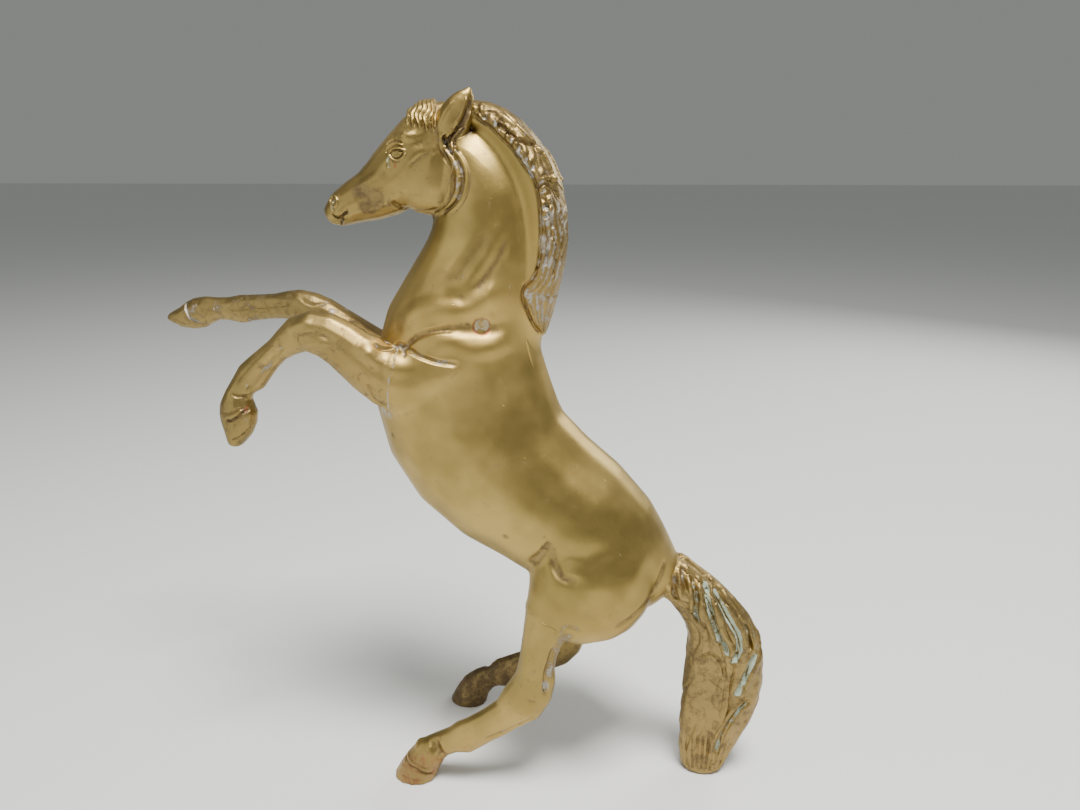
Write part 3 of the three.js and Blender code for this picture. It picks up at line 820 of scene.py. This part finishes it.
# mane and tail
mane = {
    "border": [(13.1, 298.7), (16.6, 294.9), (20.7, 292.3), (25.5, 287.9), (30.3, 283.5), (34.4, 277.9),
              (38.4, 272.9), (40.4, 267.2), (41.2, 259.7), (41.5, 253.2), (41.2, 246.7), (40.5, 240.2),
              (38.4, 234.7), (34.6, 230.4), (33.9, 226.3), (36.1, 219.6), (37.8, 215.2), (40, 210.6)],
    "crest": [(12, 303), (20.7, 302), (26.9, 299), (33.4, 293.6), (39.5, 287), (44, 280.3), (46.9, 273.7),
             (50, 264), (51.5, 255.7), (51.5, 248.5), (50, 239.8), (48, 231.1), (45.6, 223.8), (43, 215),
             (41, 209)],
    "step": 0.8,
    "strands": 5.4,
    "depth": 1.15,
    "proud": 0.45,
    "fine": 0.14,
}
maneGrooves = {
    "pitLong": ([(23.4, 293.5), (27.4, 291.2), (32.1, 287.7), (36.4, 286.0), (39.3, 285.2)], 1.5, -1.6,
                {"patina": 1.0}),
    "pitTop": ([(19.0, 297.6), (21.6, 298.2), (24.2, 296.0), (26.6, 293.6)], 1.1, -1.2, {"patina": 1.0}),
    "pitFirst": ([(15.2, 298.6), (17.6, 297.0), (19.6, 294.6)], 1.0, -1.0, {"patina": 0.9}),
    "crestRoll": ([(24, 297.5), (30, 293.2), (36, 288.6), (41, 282.4), (45, 274.4), (47.4, 267)],
                  1.9, 0.8),
    "lockLong": ([(38.6, 285.0), (42.2, 280), (44.4, 275.2), (46.4, 270.4)], 1.9, 0.9),
    "borderPale": ([(31.6, 283.2), (35.1, 278.5), (38.6, 272.9)], 1.4, -0.5, {"residue": 1.0}),
    "swirl": ([(39.8, 269.6), (43.0, 270.8), (46.2, 269.0), (48.4, 264.2)], 1.2, -1.4, {"patina": 1.0}),
    "swirlLock": ([(40.6, 272.2), (43.6, 273.0), (47, 271.2), (48.9, 267.0)], 1.1, 0.9),
    "long1": ([(41.7, 267.0), (44.3, 261.9), (46.1, 255.7), (45.6, 249.5)], 0.9, -1.1, {"residue": 0.7}),
    "long2": ([(43.5, 256.2), (44.4, 250.7), (44.0, 244.4), (43.2, 238.4)], 0.85, -1.0, {"patina": 0.8}),
    "long3": ([(46.6, 252.0), (47.3, 245.1), (46.9, 239.5), (45.9, 234.4)], 0.85, -1.0, {"patina": 0.8}),
    "long4": ([(49.0, 259.3), (49.6, 252.5), (49.0, 246.0), (49.2, 240.4), (48.2, 234.3)], 0.8, -0.9,
              {"residue": 0.5}),
    "long5": ([(42.2, 258.4), (42.4, 251.8), (41.8, 244.2), (39.6, 236.0)], 0.8, -0.9, {"residue": 0.7}),
    "tear": ([(46.2, 236.4), (46.0, 234.0), (45.4, 231.2)], 1.1, 0.8),
    "paleEnd": ([(36.4, 229.6), (38.6, 224.6), (40.6, 219.6), (41, 214)], 3.2, -0.3, {"residue": 0.5}),
    "paleBorder": ([(41.4, 262), (41.6, 252), (40.6, 240), (37.4, 233)], 1.1, -0.3, {"residue": 0.7}),
    "darkUpper": ([(18, 296), (27, 292), (35, 286.4)], 2.6, 0, {"patina": 0.5}),
}
tail = {
    "spine": [(84, 103), (96.2, 102.5), (104.2, 97.5), (112.7, 89.5), (119.7, 80.5), (123.7, 70.5),
             (125.5, 58), (124.7, 44), (122.2, 30), (119.2, 15), (117.2, -4)],
    "step": 0.8,
    "strands": 11,
    "depth": 2.3,
    "drawn": 1.2,  # how much wider the grooves of the table below are pressed
    "deep": 1.6,   # and how much deeper
    "bank": 0.95,  # height of the ridges beside them
}
pale = {"verdigris": 0.9}
tailGrooves = {
    "g1": ([(100.3, 105.4), (100.4, 99), (101.4, 95.4), (102.8, 92.8)], 1.1, -0.9, {"residue": 0.6}),
    "g2": ([(103.4, 108.2), (104.5, 102.9), (105.8, 98)], 1.0, -0.8, {"residue": 0.6}),
    "g3": ([(108.7, 103.2), (110.3, 95.5), (110.6, 87.2), (112.2, 82.5)], 1.1, -0.9, {"verdigris": 0.6}),
    "g4": ([(111.7, 101.8), (112.4, 97.4)], 0.9, -0.7),
    "g5": ([(113.7, 101.6), (115.6, 94), (117.4, 87.3), (119.2, 81.9), (121.7, 76.3), (124, 73),
            (125.4, 67.8)], 1.3, -1.2, pale),
    "g6": ([(117.8, 98.4), (120.9, 93.1), (124, 87.5), (127.2, 82.3), (129.7, 77.6), (130.3, 72.2),
            (129.2, 67.1), (127.2, 63.6)], 1.5, -1.3, pale),
    "g7": ([(124.4, 92.6), (127, 89.4), (130, 85)], 0.9, -0.8),
    "g8": ([(132.2, 82), (134.1, 75.9), (136.2, 69.6)], 1.0, -0.9, {"verdigris": 0.6}),
    "g9": ([(136.2, 78), (137.8, 73.2), (139.6, 66.6)], 0.9, -0.8, {"verdigris": 0.6}),
    "g10": ([(138.4, 68.4), (136.5, 63.7), (134.6, 58.6), (131.9, 50.4), (130.6, 46)], 1.5, -1.2, pale),
    "g11": ([(136.4, 43.1), (132.9, 40), (130.3, 35.5), (128, 31), (125, 23), (123.3, 13)], 1.1, -1.0,
            {"verdigris": 0.7}),
    "panelEdge": ([(113.4, 64.5), (118.5, 67.6), (122.6, 64), (125.4, 55.7), (125.4, 44), (124.2, 34)],
                  1.3, -0.9, {"patina": 0.7}),
    "panelFlat": ([(115, 61), (117.5, 52), (117.6, 42), (116.4, 32)], 5.6, -1.0, {"patina": 0.55}),
    "panelPit": ([(120.9, 65.4), (121.5, 64.4)], 0.9, -0.9, {"patina": 1.0}),
}


def hairOnForelock(clay):
    # wavy locks that fall from the poll over the brow, the same on both sides of the head
    on = np.flatnonzero(clay.isOn("head"))
    x, y, z = turned(clay.place[on], -headTurn["angle"]).T
    foot = forelock["foot"] - 0.25 * (x - forelock["back"]) + 1.0 * np.sin(x * 2.3)
    inside = (np.clip((x - forelock["front"]) / 1.2, 0, 1) * np.clip((forelock["back"] - x) / 1.0, 0, 1)
              * np.clip((z - foot) / 1.6, 0, 1))
    theta = (x - forelock["lean"] * (z - 296) + 0.5 * np.sin(z * 0.95 + x * 0.35)) / forelock["spacing"]
    share = theta - np.floor(theta)
    bump = np.sqrt(np.clip(1 - (2 * share - 1) ** 2, 0, 1)) ** 0.8
    fine = np.abs(np.sin(theta * math.pi * 3))
    locks = (bump - 0.5) * forelock["depth"] + forelock["fine"] * (fine - 0.5)
    clay.push[on] += inside * (locks + forelock["proud"])
    clay.settle()
    clay.hollow[on] = np.maximum(clay.hollow[on], (1 - bump) * inside)


def hairOnMane(clay):
    # the mane's strands follow its length and wave across it
    border, crest = curveThrough(mane["border"], mane["step"]), curveThrough(mane["crest"], mane["step"])
    on = np.flatnonzero(clay.owner == pieceNames.index("mane"))
    flat = clay.place[on][:, [0, 2]]
    gapBorder, index = nearestOn(flat, border)
    gapCrest = nearestOn(flat, crest)[0]
    across = gapBorder / (gapBorder + gapCrest + 1e-6)
    run = index * mane["step"]
    side = np.sign(clay.place[on][:, 1] - midline)
    upper = np.clip((clay.place[on][:, 2] - 262) / 14, 0, 1)
    warpPlace = np.stack([run * (1 + 0.5 * upper), across * 9, side * 30], 1)
    theta = across * mane["strands"] + 0.5 * wander(warpPlace, 19, 3) + run * 0.03 * (1 + 1.5 * upper)
    theta = theta + 0.22 * np.sin(run * 0.42 + side)
    strand = np.floor(theta)
    share = theta - strand
    lift = 0.8 + 0.35 * np.sin(strand * 12.9 + side * 3 + run * 0.16)
    bump = np.sqrt(np.clip(1 - (2 * share - 1) ** 2, 0, 1)) ** 0.8
    fine = np.abs(np.sin(theta * math.pi * 3 + 0.6 * wander(warpPlace, 9, 5)))
    behind = np.clip(-aheadOfMane(clay)[on] / 1.1, 0, 1)
    facing = np.clip(np.abs(clay.normal[on][:, 1]) / 0.4, 0.35, 1)
    fade = behind * facing * (1 - 0.55 * upper)
    strands = lift * (bump - 0.45) * mane["depth"] + mane["fine"] * (fine - 0.5)
    clay.push[on] += fade * strands + behind * mane["proud"]
    clay.settle()
    clay.hollow[on] = np.maximum(clay.hollow[on], (1 - bump) * 0.9 * fade)


def lumps(clay):
    # short locks that end along the upper front of the mane, pale between them
    border = curveThrough(mane["border"], 0.5)
    table = {}
    draw = np.random.default_rng(5)
    for number, index in enumerate(range(8, int(len(border) * 0.52), 9)):
        index += int(draw.integers(-2, 3))
        x, z = border[index]
        dx, dz = border[index + 2] - border[index - 2]
        size = math.hypot(dx, dz)
        across = np.array([-dz, dx]) / size
        along = np.array([dx, dz]) / size
        start = np.array([x, z]) + across * 0.9
        end = start + across * (3.2 + draw.random() * 1.4) - along * (2.4 + draw.random() * 2.5)
        table["lump%d" % number] = ([start, start + across * 1.8 - along * 1.2, end],
                                    1.5 + 0.5 * draw.random(), 0.7 + 0.5 * draw.random())
        gap = start + along * 2.0
        table["gap%d" % number] = ([gap, gap + across * 2.4 - along * 1.4], 0.9, -0.7, {"residue": 1.0})
    clay.carve(table, on="mane")


def hairOnTail(clay):
    # strands run the length of the tail and drift round it
    spine = curveThrough(tail["spine"], tail["step"])
    way = np.gradient(spine, axis=0)
    way /= np.linalg.norm(way, axis=1)[:, None]
    on = np.flatnonzero(clay.owner == pieceNames.index("tail"))
    place = clay.place[on]
    gap, index = nearestOn(place[:, [0, 2]], spine)
    off = place[:, [0, 2]] - spine[index]
    outward = off[:, 0] * -way[index][:, 1] + off[:, 1] * way[index][:, 0]
    angle = np.arctan2(place[:, 1] - midline, outward * 1.25)
    run = index * tail["step"]
    turn = np.stack([np.cos(angle) * 9, np.sin(angle) * 9, run * 0.22], 1)
    theta = angle / (2 * math.pi) * tail["strands"] + 0.35 * wander(turn, 18, 11) + run * 0.016
    theta = theta + 0.16 * np.sin(run * 0.23 + 2.0 * angle)
    strand = np.floor(theta)
    share = theta - strand
    lift = 0.8 + 0.3 * np.sin(strand * 7.3 + run * 0.05)
    bump = np.sqrt(np.clip(1 - (2 * share - 1) ** 2, 0, 1)) ** 0.8
    fine = np.abs(np.sin(theta * math.pi * 3.0 + 0.5 * wander(turn, 9, 12)))
    root = np.clip(run / 7, 0, 1) * np.clip((place[:, 2] - 0.4) / 2.5, 0, 1)
    inPanel = (place[:, 1] < midline) * np.exp(-(((place[:, 0] - 116.5) / 6.5) ** 4)
                                               - ((place[:, 2] - 45) / 19) ** 4)
    low = np.clip((24 - place[:, 2]) / 8, 0, 1) * (place[:, 1] < midline)
    seen = np.clip(-clay.normal[on][:, 1] / 0.5, 0, 1)
    fade = root * (1 - 0.85 * inPanel) * (1 - 0.3 * seen)
    strands = lift * (bump - 0.5) * tail["depth"] * (1 - 0.45 * low)
    clay.push[on] += fade * (strands + (0.2 + 0.3 * low) * (fine - 0.5))
    clay.push[on] += inPanel * 0.07 * wander(place, 3.1, 8)
    clay.settle()
    clay.hollow[on] = np.maximum(clay.hollow[on], (1 - bump) * 0.9 * fade)


# how tarnished each cast piece is all over
tone = {
    "patina": {"body_left": 0.18, "body_right": 0.18, "head": 0.42, "mane": 0.72, "foreleg_left": 0.55,
               "foreleg_right": 0.68, "hindleg_left": 0.3, "hindleg_right": 0.36, "tail": 0.72},
    "residue": {"foreleg_right": 0.2},
}


def toneDown(clay, spread):
    # a general tarnish for each cast piece that fades over the joints, then painted shade that darkens the
    # far hind leg towards the floor, a browner near hind hoof, and pale residue in the mane; the strip of
    # skin before the mane's border is toned as the body is
    bare = clay.isOn("mane") & (aheadOfMane(clay) > 0)
    host = np.where(bare, pieceNames.index("body_left"), clay.owner)
    for key, values in tone.items():
        general = np.array([values.get(name, 0.0) for name in pieceNames])[host]
        for turn in range(16):
            general = spread(general)
        clay.layers[key] = np.maximum(clay.layers[key], general)
    # painted shade: the far hind leg is painted brown, darker towards the floor, for the shade that falls
    # on it
    low = clay.isOn("hindleg_right") * np.clip((62 - clay.place[:, 2]) / 40, 0, 1)
    clay.layers["patina"] = np.maximum(clay.layers["patina"], low * 1.15)
    low = clay.isOn("hindleg_left") * np.clip((26 - clay.place[:, 2]) / 16, 0, 1)
    clay.layers["patina"] = np.maximum(clay.layers["patina"], low * 0.66)
    clay.layers["copper"] = np.maximum(clay.layers["copper"], low * 0.55)
    low = np.clip((272 - clay.place[:, 2]) / 8, 0.25, 1) * np.clip((clay.place[:, 2] - 208) / 8, 0, 1)
    inMane = clay.isOn("mane") * np.clip(-aheadOfMane(clay) / 1.5, 0, 1)
    clay.layers["residue"] = np.maximum(clay.layers["residue"], inMane * low * (0.42 + clay.hollow * 1.1))


def neighbours(clay):
    # a function that gives each point the mean of its neighbours' values, and each point's mean edge length
    mesh = clay.piece.data
    edges = np.empty(len(mesh.edges) * 2, int)
    mesh.edges.foreach_get("vertices", edges)
    a, b = edges[0::2], edges[1::2]
    count = len(clay.place)
    degree = np.maximum(np.bincount(a, minlength=count) + np.bincount(b, minlength=count), 1)

    def spread(values):
        return (np.bincount(a, values[b], count) + np.bincount(b, values[a], count)) / degree

    length = np.linalg.norm(clay.place[a] - clay.place[b], axis=1)
    return spread, np.bincount(np.concatenate([a, b]), np.tile(length, 2), count) / degree


def hollowness(clay, spread, cell):
    # how far each point lies below the mean of its surroundings, 0 to 1
    deep = np.zeros(len(clay.place))
    mean = clay.place
    for rounds in (2, 6):
        for turn in range(rounds):
            mean = np.stack([spread(mean[:, k]) for k in range(3)], 1)
        below = ((mean - clay.place) * clay.normal).sum(1) / cell
        deep = np.maximum(deep, np.clip((below - 0.03) / 0.20, 0, 1))
    ahead = aheadOfMane(clay)
    deep = deep * ~((ahead > 0.8) & (ahead < 13) & ~clay.isOn("head"))
    return 0.6 * deep + 0.4 * spread(deep)


def aheadOfMane(clay):
    # how far in front of the mane's border each point lies, in the side view; behind it is below zero
    border = curveThrough(mane["border"], mane["step"])
    way = np.gradient(border, axis=0)
    flat = clay.place[:, [0, 2]]
    gap, index = nearestOn(flat, border)
    off = flat - border[index]
    return gap * np.sign(off[:, 0] * way[index][:, 1] - off[:, 1] * way[index][:, 0])


bench = {
    "bodyRounds": 14,   # rounds of smoothing over the muscles
    "jowlRounds": 30,
    "borderRounds": 260,  # the skin before the mane ends up clean
    # places on the cheeks (x, distance from the middle, z) that are kept plain
    "jowl": [(-14, 11, 272), (-8, 12, 272), (-2, 12, 273), (-8, 11.5, 266), (-3, 11, 266),
            (-14, 10, 266)],
    # the mesh is closer round these places (x, y, z): hoofs, shoulder joints, throat
    "fine": [(-88, -30, 176), (-126, 9, 211), (-12, -33, 8), (0, 26, 8), (-8, -29, 206), (-8, 23, 206),
             (6, -16, 274), (2, 15, 274)],
    "fineReach": 14,
    # and closer still round these of the head: eyes, mouth, brow, ears
    "face": [(-18.4, 9.6, 282.5), (-44.6, 4.6, 261.0), (-9.0, 8.0, 296.0), (7.5, 11.5, 299.0)],
    "faceReach": 6.0,
}


def bothSides(spots):
    # places of the head on its left and right, as it is turned
    return turned(np.array([[x, midline + side * y, z] for x, y, z in spots for side in (-1, 1)]),
                  headTurn["angle"])


def drawTuft(clay):
    # the little locks before the ear, each with a groove behind it
    lift, groove = {}, {}
    for number, lock in enumerate(tuft["locks"]):
        lift["tuft%d" % number] = (lock, tuft["width"], tuft["height"])
        groove["tuft%d" % number] = ([(x + 1.2, z) for x, z in lock], 0.6, -0.8, {"patina": 1.0})
    clay.carve(lift, onHead=True)
    clay.carve(groove, onHead=True)


def drawTail(clay):
    # the long grooves of the near side with a ridge on each hand, then the comb of short ones at the tip
    drawn = {}
    for name, (points, width, height, *paint) in tailGrooves.items():
        scale = 1 if name.startswith("panel") else tail["drawn"]
        drawn[name] = (points, width * scale, height * (1 if scale == 1 else tail["deep"]), *paint)
        if scale != 1:
            line = np.array(points, float)
            way = np.gradient(line, axis=0)
            way /= np.linalg.norm(way, axis=1)[:, None]
            for side in (-1, 1):
                bank = line + side * width * 1.9 * np.stack([way[:, 1], -way[:, 0]], 1)
                drawn[name + "bank%d" % side] = (bank, width * 1.4, tail["bank"])
    clay.carve(drawn, sides=(-1,), on="tail")
    comb = {}
    for number, x in enumerate(np.arange(109.0, 127.0, 2.1)):
        lean = (x - 117.5) * 0.24
        line = [(x + lean, 24 - 0.5 * abs(x - 118)), (x + 0.5 * lean, 12), (x - 0.1 * lean, 2.5)]
        comb["comb%d" % number] = (line, 0.75, -0.7, {"patina": 0.8})
    clay.carve(comb, sides=(-1,), on="tail")


def sculpt(clay):
    clay.carve(bodyMuscles)
    clay.carve(headForms, onHead=True)
    clay.soften(bench["bodyRounds"], clay.isOn("body_left", "body_right") * 1.0)
    jowl = nearestOn(clay.place, bothSides(bench["jowl"]))[0]
    clay.soften(bench["jowlRounds"], np.clip((7.5 - jowl) / 4, 0, 1) * clay.isOn("head"))
    ahead = aheadOfMane(clay)
    strip = np.clip((ahead + 1.0) / 1.2, 0, 1) * np.clip((12 - ahead) / 3, 0, 1)
    clay.soften(bench["borderRounds"], strip * ~clay.isOn("head"))
    print("muscles done")
    detailed = [pieceNames.index(name) for name in ("head", "mane", "tail")]
    fine = np.array(bench["fine"], float)
    clay.refine(lambda centre, owner: np.isin(owner, detailed)
                | (nearestOn(centre, fine)[0] < bench["fineReach"]))
    clay.carve(bodyCreases)
    clay.carve(headLines, onHead=True)
    clay.carve(nearForeleg, on="foreleg_left")
    clay.carve(farForeleg, on="foreleg_right")
    clay.carve(nearHindleg, sides=(-1,))
    clay.carve(farHindleg, sides=(1,))
    print("creases done", len(clay.place))
    face = bothSides(bench["face"])
    clay.refine(lambda centre, owner: (nearestOn(centre, face)[0] < bench["faceReach"])
                & (owner == pieceNames.index("head")))
    clay.carve(faceLines, onHead=True)
    clay.hollow = np.zeros(len(clay.place))
    drawTuft(clay)
    hairOnForelock(clay)
    clay.carve({"border": (mane["border"], 1.2, -0.7, {"patina": 0.6})})
    hairOnMane(clay)
    lumps(clay)
    clay.carve(maneGrooves, on="mane")
    hairOnTail(clay)
    drawTail(clay)
    clay.soften(2, clay.isOn("mane") * 0.6 + clay.isOn("tail", "head") * 0.4)
    print("hair done", len(clay.place))
    clay.carve(stains)
    clay.carve(faceStains, onHead=True)
    clay.carve(nearForelegStains, on="foreleg_left")
    clay.carve(farForelegStains, on="foreleg_right")
    clay.carve(nearHindlegStains)
    # the far hind leg's painted shade
    clay.carve(farHindlegShade, on="hindleg_right")


joins = {
    "bead": {"foreleg_left": 0.62, "foreleg_right": 0.5, "hindleg_left": 0.42, "hindleg_right": 0.42,
             "tail": 0.42, "head": 0.34},
    "sunk": 0.62,   # share of its radius that a bead lies under the skin
    "uneven": 0.16,
    "lip": 0.3,     # mm that a cut rim is turned in before it is closed
    "residue": {"foreleg_left": 0.85, "foreleg_right": 0.7, "hindleg_left": 0.35, "hindleg_right": 0.35,
                "tail": 0.3, "head": 0.35},
}


def faceLabels(bm, owner):
    # the piece that each face belongs to, with single odd faces given to the piece round them
    labels = [int(np.bincount([owner[v.index] for v in face.verts]).argmax()) for face in bm.faces]
    for turn in range(4):
        changed = 0
        for face in bm.faces:
            around = [labels[other.index] for edge in face.edges for other in edge.link_faces
                      if other is not face]
            best = max(set(around), key=around.count) if around else labels[face.index]
            if best != labels[face.index] and around.count(best) * 2 > len(around):
                labels[face.index] = best
                changed += 1
        if not changed:
            break
    return labels


def seamEdges(bm, labels):
    return [e for e in bm.edges if len(e.link_faces) == 2
            and labels[e.link_faces[0].index] != labels[e.link_faces[1].index]]


def easeSeams(seams, rounds=10):
    # draws the joint lines out smooth, so that no stair of squares is left along them
    along = {}
    for edge in seams:
        for vert, other in ((edge.verts[0], edge.verts[1]), (edge.verts[1], edge.verts[0])):
            along.setdefault(vert, []).append(other)
    for turn in range(rounds):
        moved = {vert: (vert.co + (near[0].co + near[1].co) * 0.5) * 0.5
                 for vert, near in along.items() if len(near) == 2}
        for vert, place in moved.items():
            vert.co = place


def seamLoop(seams, labels, name):
    # the longest closed chain of joint edges round one piece, as its vertices in order
    index = pieceNames.index(name)
    wanted = [e for e in seams if index in (labels[e.link_faces[0].index], labels[e.link_faces[1].index])]
    left = {}
    for edge in wanted:
        for vert in edge.verts:
            left.setdefault(vert, set()).add(edge)
    best = []
    used = set()
    for edge in wanted:
        if edge in used:
            continue
        used.add(edge)
        chain = [edge.verts[0], edge.verts[1]]
        while True:
            following = [e for e in left[chain[-1]] if e not in used]
            if not following:
                break
            used.add(following[0])
            chain.append(following[0].other_vert(chain[-1]))
        if len(chain) > len(best):
            best = chain
    if best and best[0] is best[-1]:
        best = best[:-1]
    return best


def bead(name, chain, radius):
    # an uneven bead of filler metal that follows the joint, partly under the skin
    places = np.array([vert.co - vert.normal * radius * joins["sunk"] * mm for vert in chain])
    for turn in range(6):
        places = 0.5 * places + 0.25 * (np.roll(places, 1, 0) + np.roll(places, -1, 0))
    curve = bpy.data.curves.new(name, "CURVE")
    curve.dimensions = "3D"
    curve.bevel_depth = radius * mm
    curve.bevel_resolution = 3
    spline = curve.splines.new("POLY")
    spline.points.add(len(places) - 1)
    draw = np.random.default_rng(len(places))
    swell = np.convolve(draw.normal(size=len(places) + 8), np.ones(9) / 3, "valid")[:len(places)]
    swell = 1 + joins["uneven"] * swell
    for point, place, size in zip(spline.points, places, swell):
        point.co = (*place, 1)
        point.radius = float(np.clip(size, 0.6, 1.4))
    spline.use_cyclic_u = True
    holder = placed(name, curve)
    mesh = bpy.data.meshes.new_from_object(holder.evaluated_get(bpy.context.evaluated_depsgraph_get()))
    bpy.data.objects.remove(holder)
    mesh.shade_smooth()
    return placed(name, mesh)


def coat(piece, key, amount):
    # paint for the whole piece: one amount, or one for each point
    layer = piece.data.attributes.new(key, "FLOAT", "POINT")
    layer.data.foreach_set("value", np.broadcast_to(amount, len(piece.data.vertices)).astype(np.float32))


def capPiece(bm):
    # turns the cut rim in a little and closes it, so that the cap shares no edge with the skin
    bm.normal_update()
    rim = [edge for edge in bm.edges if edge.is_boundary]
    inward = {tuple(vert.co): vert.normal.copy() for edge in rim for vert in edge.verts}
    for edge in rim:
        edge.smooth = False
    lip = bmesh.ops.extrude_edge_only(bm, edges=rim)["geom"]
    for vert in lip:
        if isinstance(vert, bmesh.types.BMVert):
            vert.co = vert.co - inward[tuple(vert.co)] * joins["lip"] * mm
    rim = [edge for edge in bm.edges if edge.is_boundary]
    bmesh.ops.triangulate(bm, faces=bmesh.ops.holes_fill(bm, edges=rim, sides=0)["faces"])
    bmesh.ops.recalc_face_normals(bm, faces=bm.faces)
    for face in bm.faces:
        face.smooth = True


def takeApart(figure, owner):
    # cuts the figure into its cast pieces along the joints and lays a bead along six of them
    whole = bmesh.new()
    whole.from_mesh(figure.data)
    whole.faces.ensure_lookup_table()
    whole.faces.index_update()
    labels = faceLabels(whole, owner)
    seams = seamEdges(whole, labels)
    easeSeams(seams)
    whole.normal_update()
    beads = {}
    for name, radius in joins["bead"].items():
        chain = seamLoop(seams, labels, name)
        print("  joint", name, len(chain))
        beads[name] = bead(name + "Bead", chain, radius)
        coat(beads[name], "residue", joins["residue"][name])
        coat(beads[name], "patina", 0.35)
    number = whole.faces.layers.int.new("piece")
    for face in whole.faces:
        face[number] = labels[face.index]
    pieces = {}
    for index, name in enumerate(pieceNames):
        bm = whole.copy()
        mark = bm.faces.layers.int["piece"]
        bmesh.ops.delete(bm, geom=[face for face in bm.faces if face[mark] != index], context="FACES")
        capPiece(bm)
        openCount = sum(1 for edge in bm.edges if not edge.is_manifold)
        print("  piece", name, sum(len(face.verts) - 2 for face in bm.faces), "open edges", openCount)
        pieces[name] = meshObject(name + "Cast", bm)
        bm.free()
    whole.free()
    return pieces, beads


plug = {
    "radius": 2.9,
    "proud": 0.12,
    "edge": 0.22,
    "sides": 48,
    "rings": 4,    # rings of faces on each end, so that it can be dented
    "ring": 0.6,
    "dent": 0.05,
}


def shoulderPlug(clay):
    # a round bar across the shoulders, its two ends filed to the slope of the skin
    low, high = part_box("shoulder_pin")
    x, z = (low[0] + high[0]) / 2 / mm, (low[2] + high[2]) / 2 / mm
    ends = [clay.trace([(x, z)], side)[0][1] for side in (-1, 1)]
    length = ends[1] - ends[0] + 2 * plug["proud"]
    bm = bmesh.new()
    bmesh.ops.create_cone(bm, cap_ends=True, segments=plug["sides"], radius1=plug["radius"],
                          radius2=plug["radius"], depth=length)
    rims = [edge for edge in bm.edges if abs(edge.verts[0].co.z - edge.verts[1].co.z) < 1e-6]
    bmesh.ops.bevel(bm, geom=rims, offset=plug["edge"], segments=3, profile=0.5, affect="EDGES",
                    material=-1)
    for turn in range(plug["rings"]):
        caps = [face for face in bm.faces if len(face.verts) > 8]
        bmesh.ops.inset_individual(bm, faces=caps, thickness=plug["ring"])
    bmesh.ops.rotate(bm, verts=bm.verts, cent=(0, 0, 0), matrix=Matrix.Rotation(math.radians(90), 3, "X"))
    slope = clay.trace([(x - 2, z), (x + 2, z)], -1, step=4)
    lean = (slope[-1][1] - slope[0][1]) / 4
    for vert in bm.verts:
        side = 1 if vert.co.y > 0 else -1
        dent = plug["dent"] * math.sin(vert.co.x * 3.1 + 1) * math.cos(vert.co.z * 2.7)
        vert.co.y += -side * lean * vert.co.x + dent
    bmesh.ops.translate(bm, verts=bm.verts, vec=(x, sum(ends) / 2, z))
    bmesh.ops.scale(bm, verts=bm.verts, vec=(mm, mm, mm))
    bmesh.ops.triangulate(bm, faces=bm.faces)
    bmesh.ops.recalc_face_normals(bm, faces=bm.faces)
    for face in bm.faces:
        face.smooth = True
    piece = meshObject("shoulderPlug", bm)
    bm.free()
    coat(piece, "residue", 0.95)
    coat(piece, "patina", 0.35)
    return piece


def finishPiece(piece, material, slot, *nodes):
    piece.data.materials.clear()
    piece.data.materials.append(material)
    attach(piece, "root")
    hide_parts(*nodes)


makeRoom()
print("room is set")
figure, owner = castFigure()
print("figure cast", len(figure.data.vertices))
clay = Clay(figure, owner)
sculpt(clay)
clay.finishPaint()
spread, cell = neighbours(clay)
deep = hollowness(clay, spread, cell)
toneDown(clay, spread)
# tarnish stays in the hollows
clay.layers["patina"] = np.maximum(clay.layers["patina"], np.maximum(deep * 0.75, clay.hollow * 0.6))
for key, amounts in clay.layers.items():
    coat(figure, key, amounts)
pin = shoulderPlug(clay)
pieces, beads = takeApart(figure, clay.owner)
bpy.data.objects.remove(figure)
print("taken apart")
satin = brassMaterial("satinBrass")
hair = brassMaterial("hairBrass", tarnish=0.3, grain=1.2)
filler = brassMaterial("fillerMetal", tarnish=0.8, grain=1.6)
for name, piece in pieces.items():
    isHair = name in ("mane", "tail")
    finishPiece(piece, hair if isHair else satin, "hair_brass" if isHair else "satin_brass", name)
for name, piece in beads.items():
    finishPiece(piece, filler, "filler_metal", name + "_filler")
finishPiece(pin, filler, "pin_steel", "shoulder_pin")
for name in ("croup_dowel", "neck_dowel"):
    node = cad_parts[name]
    node.data.materials.clear()
    node.data.materials.append(filler)
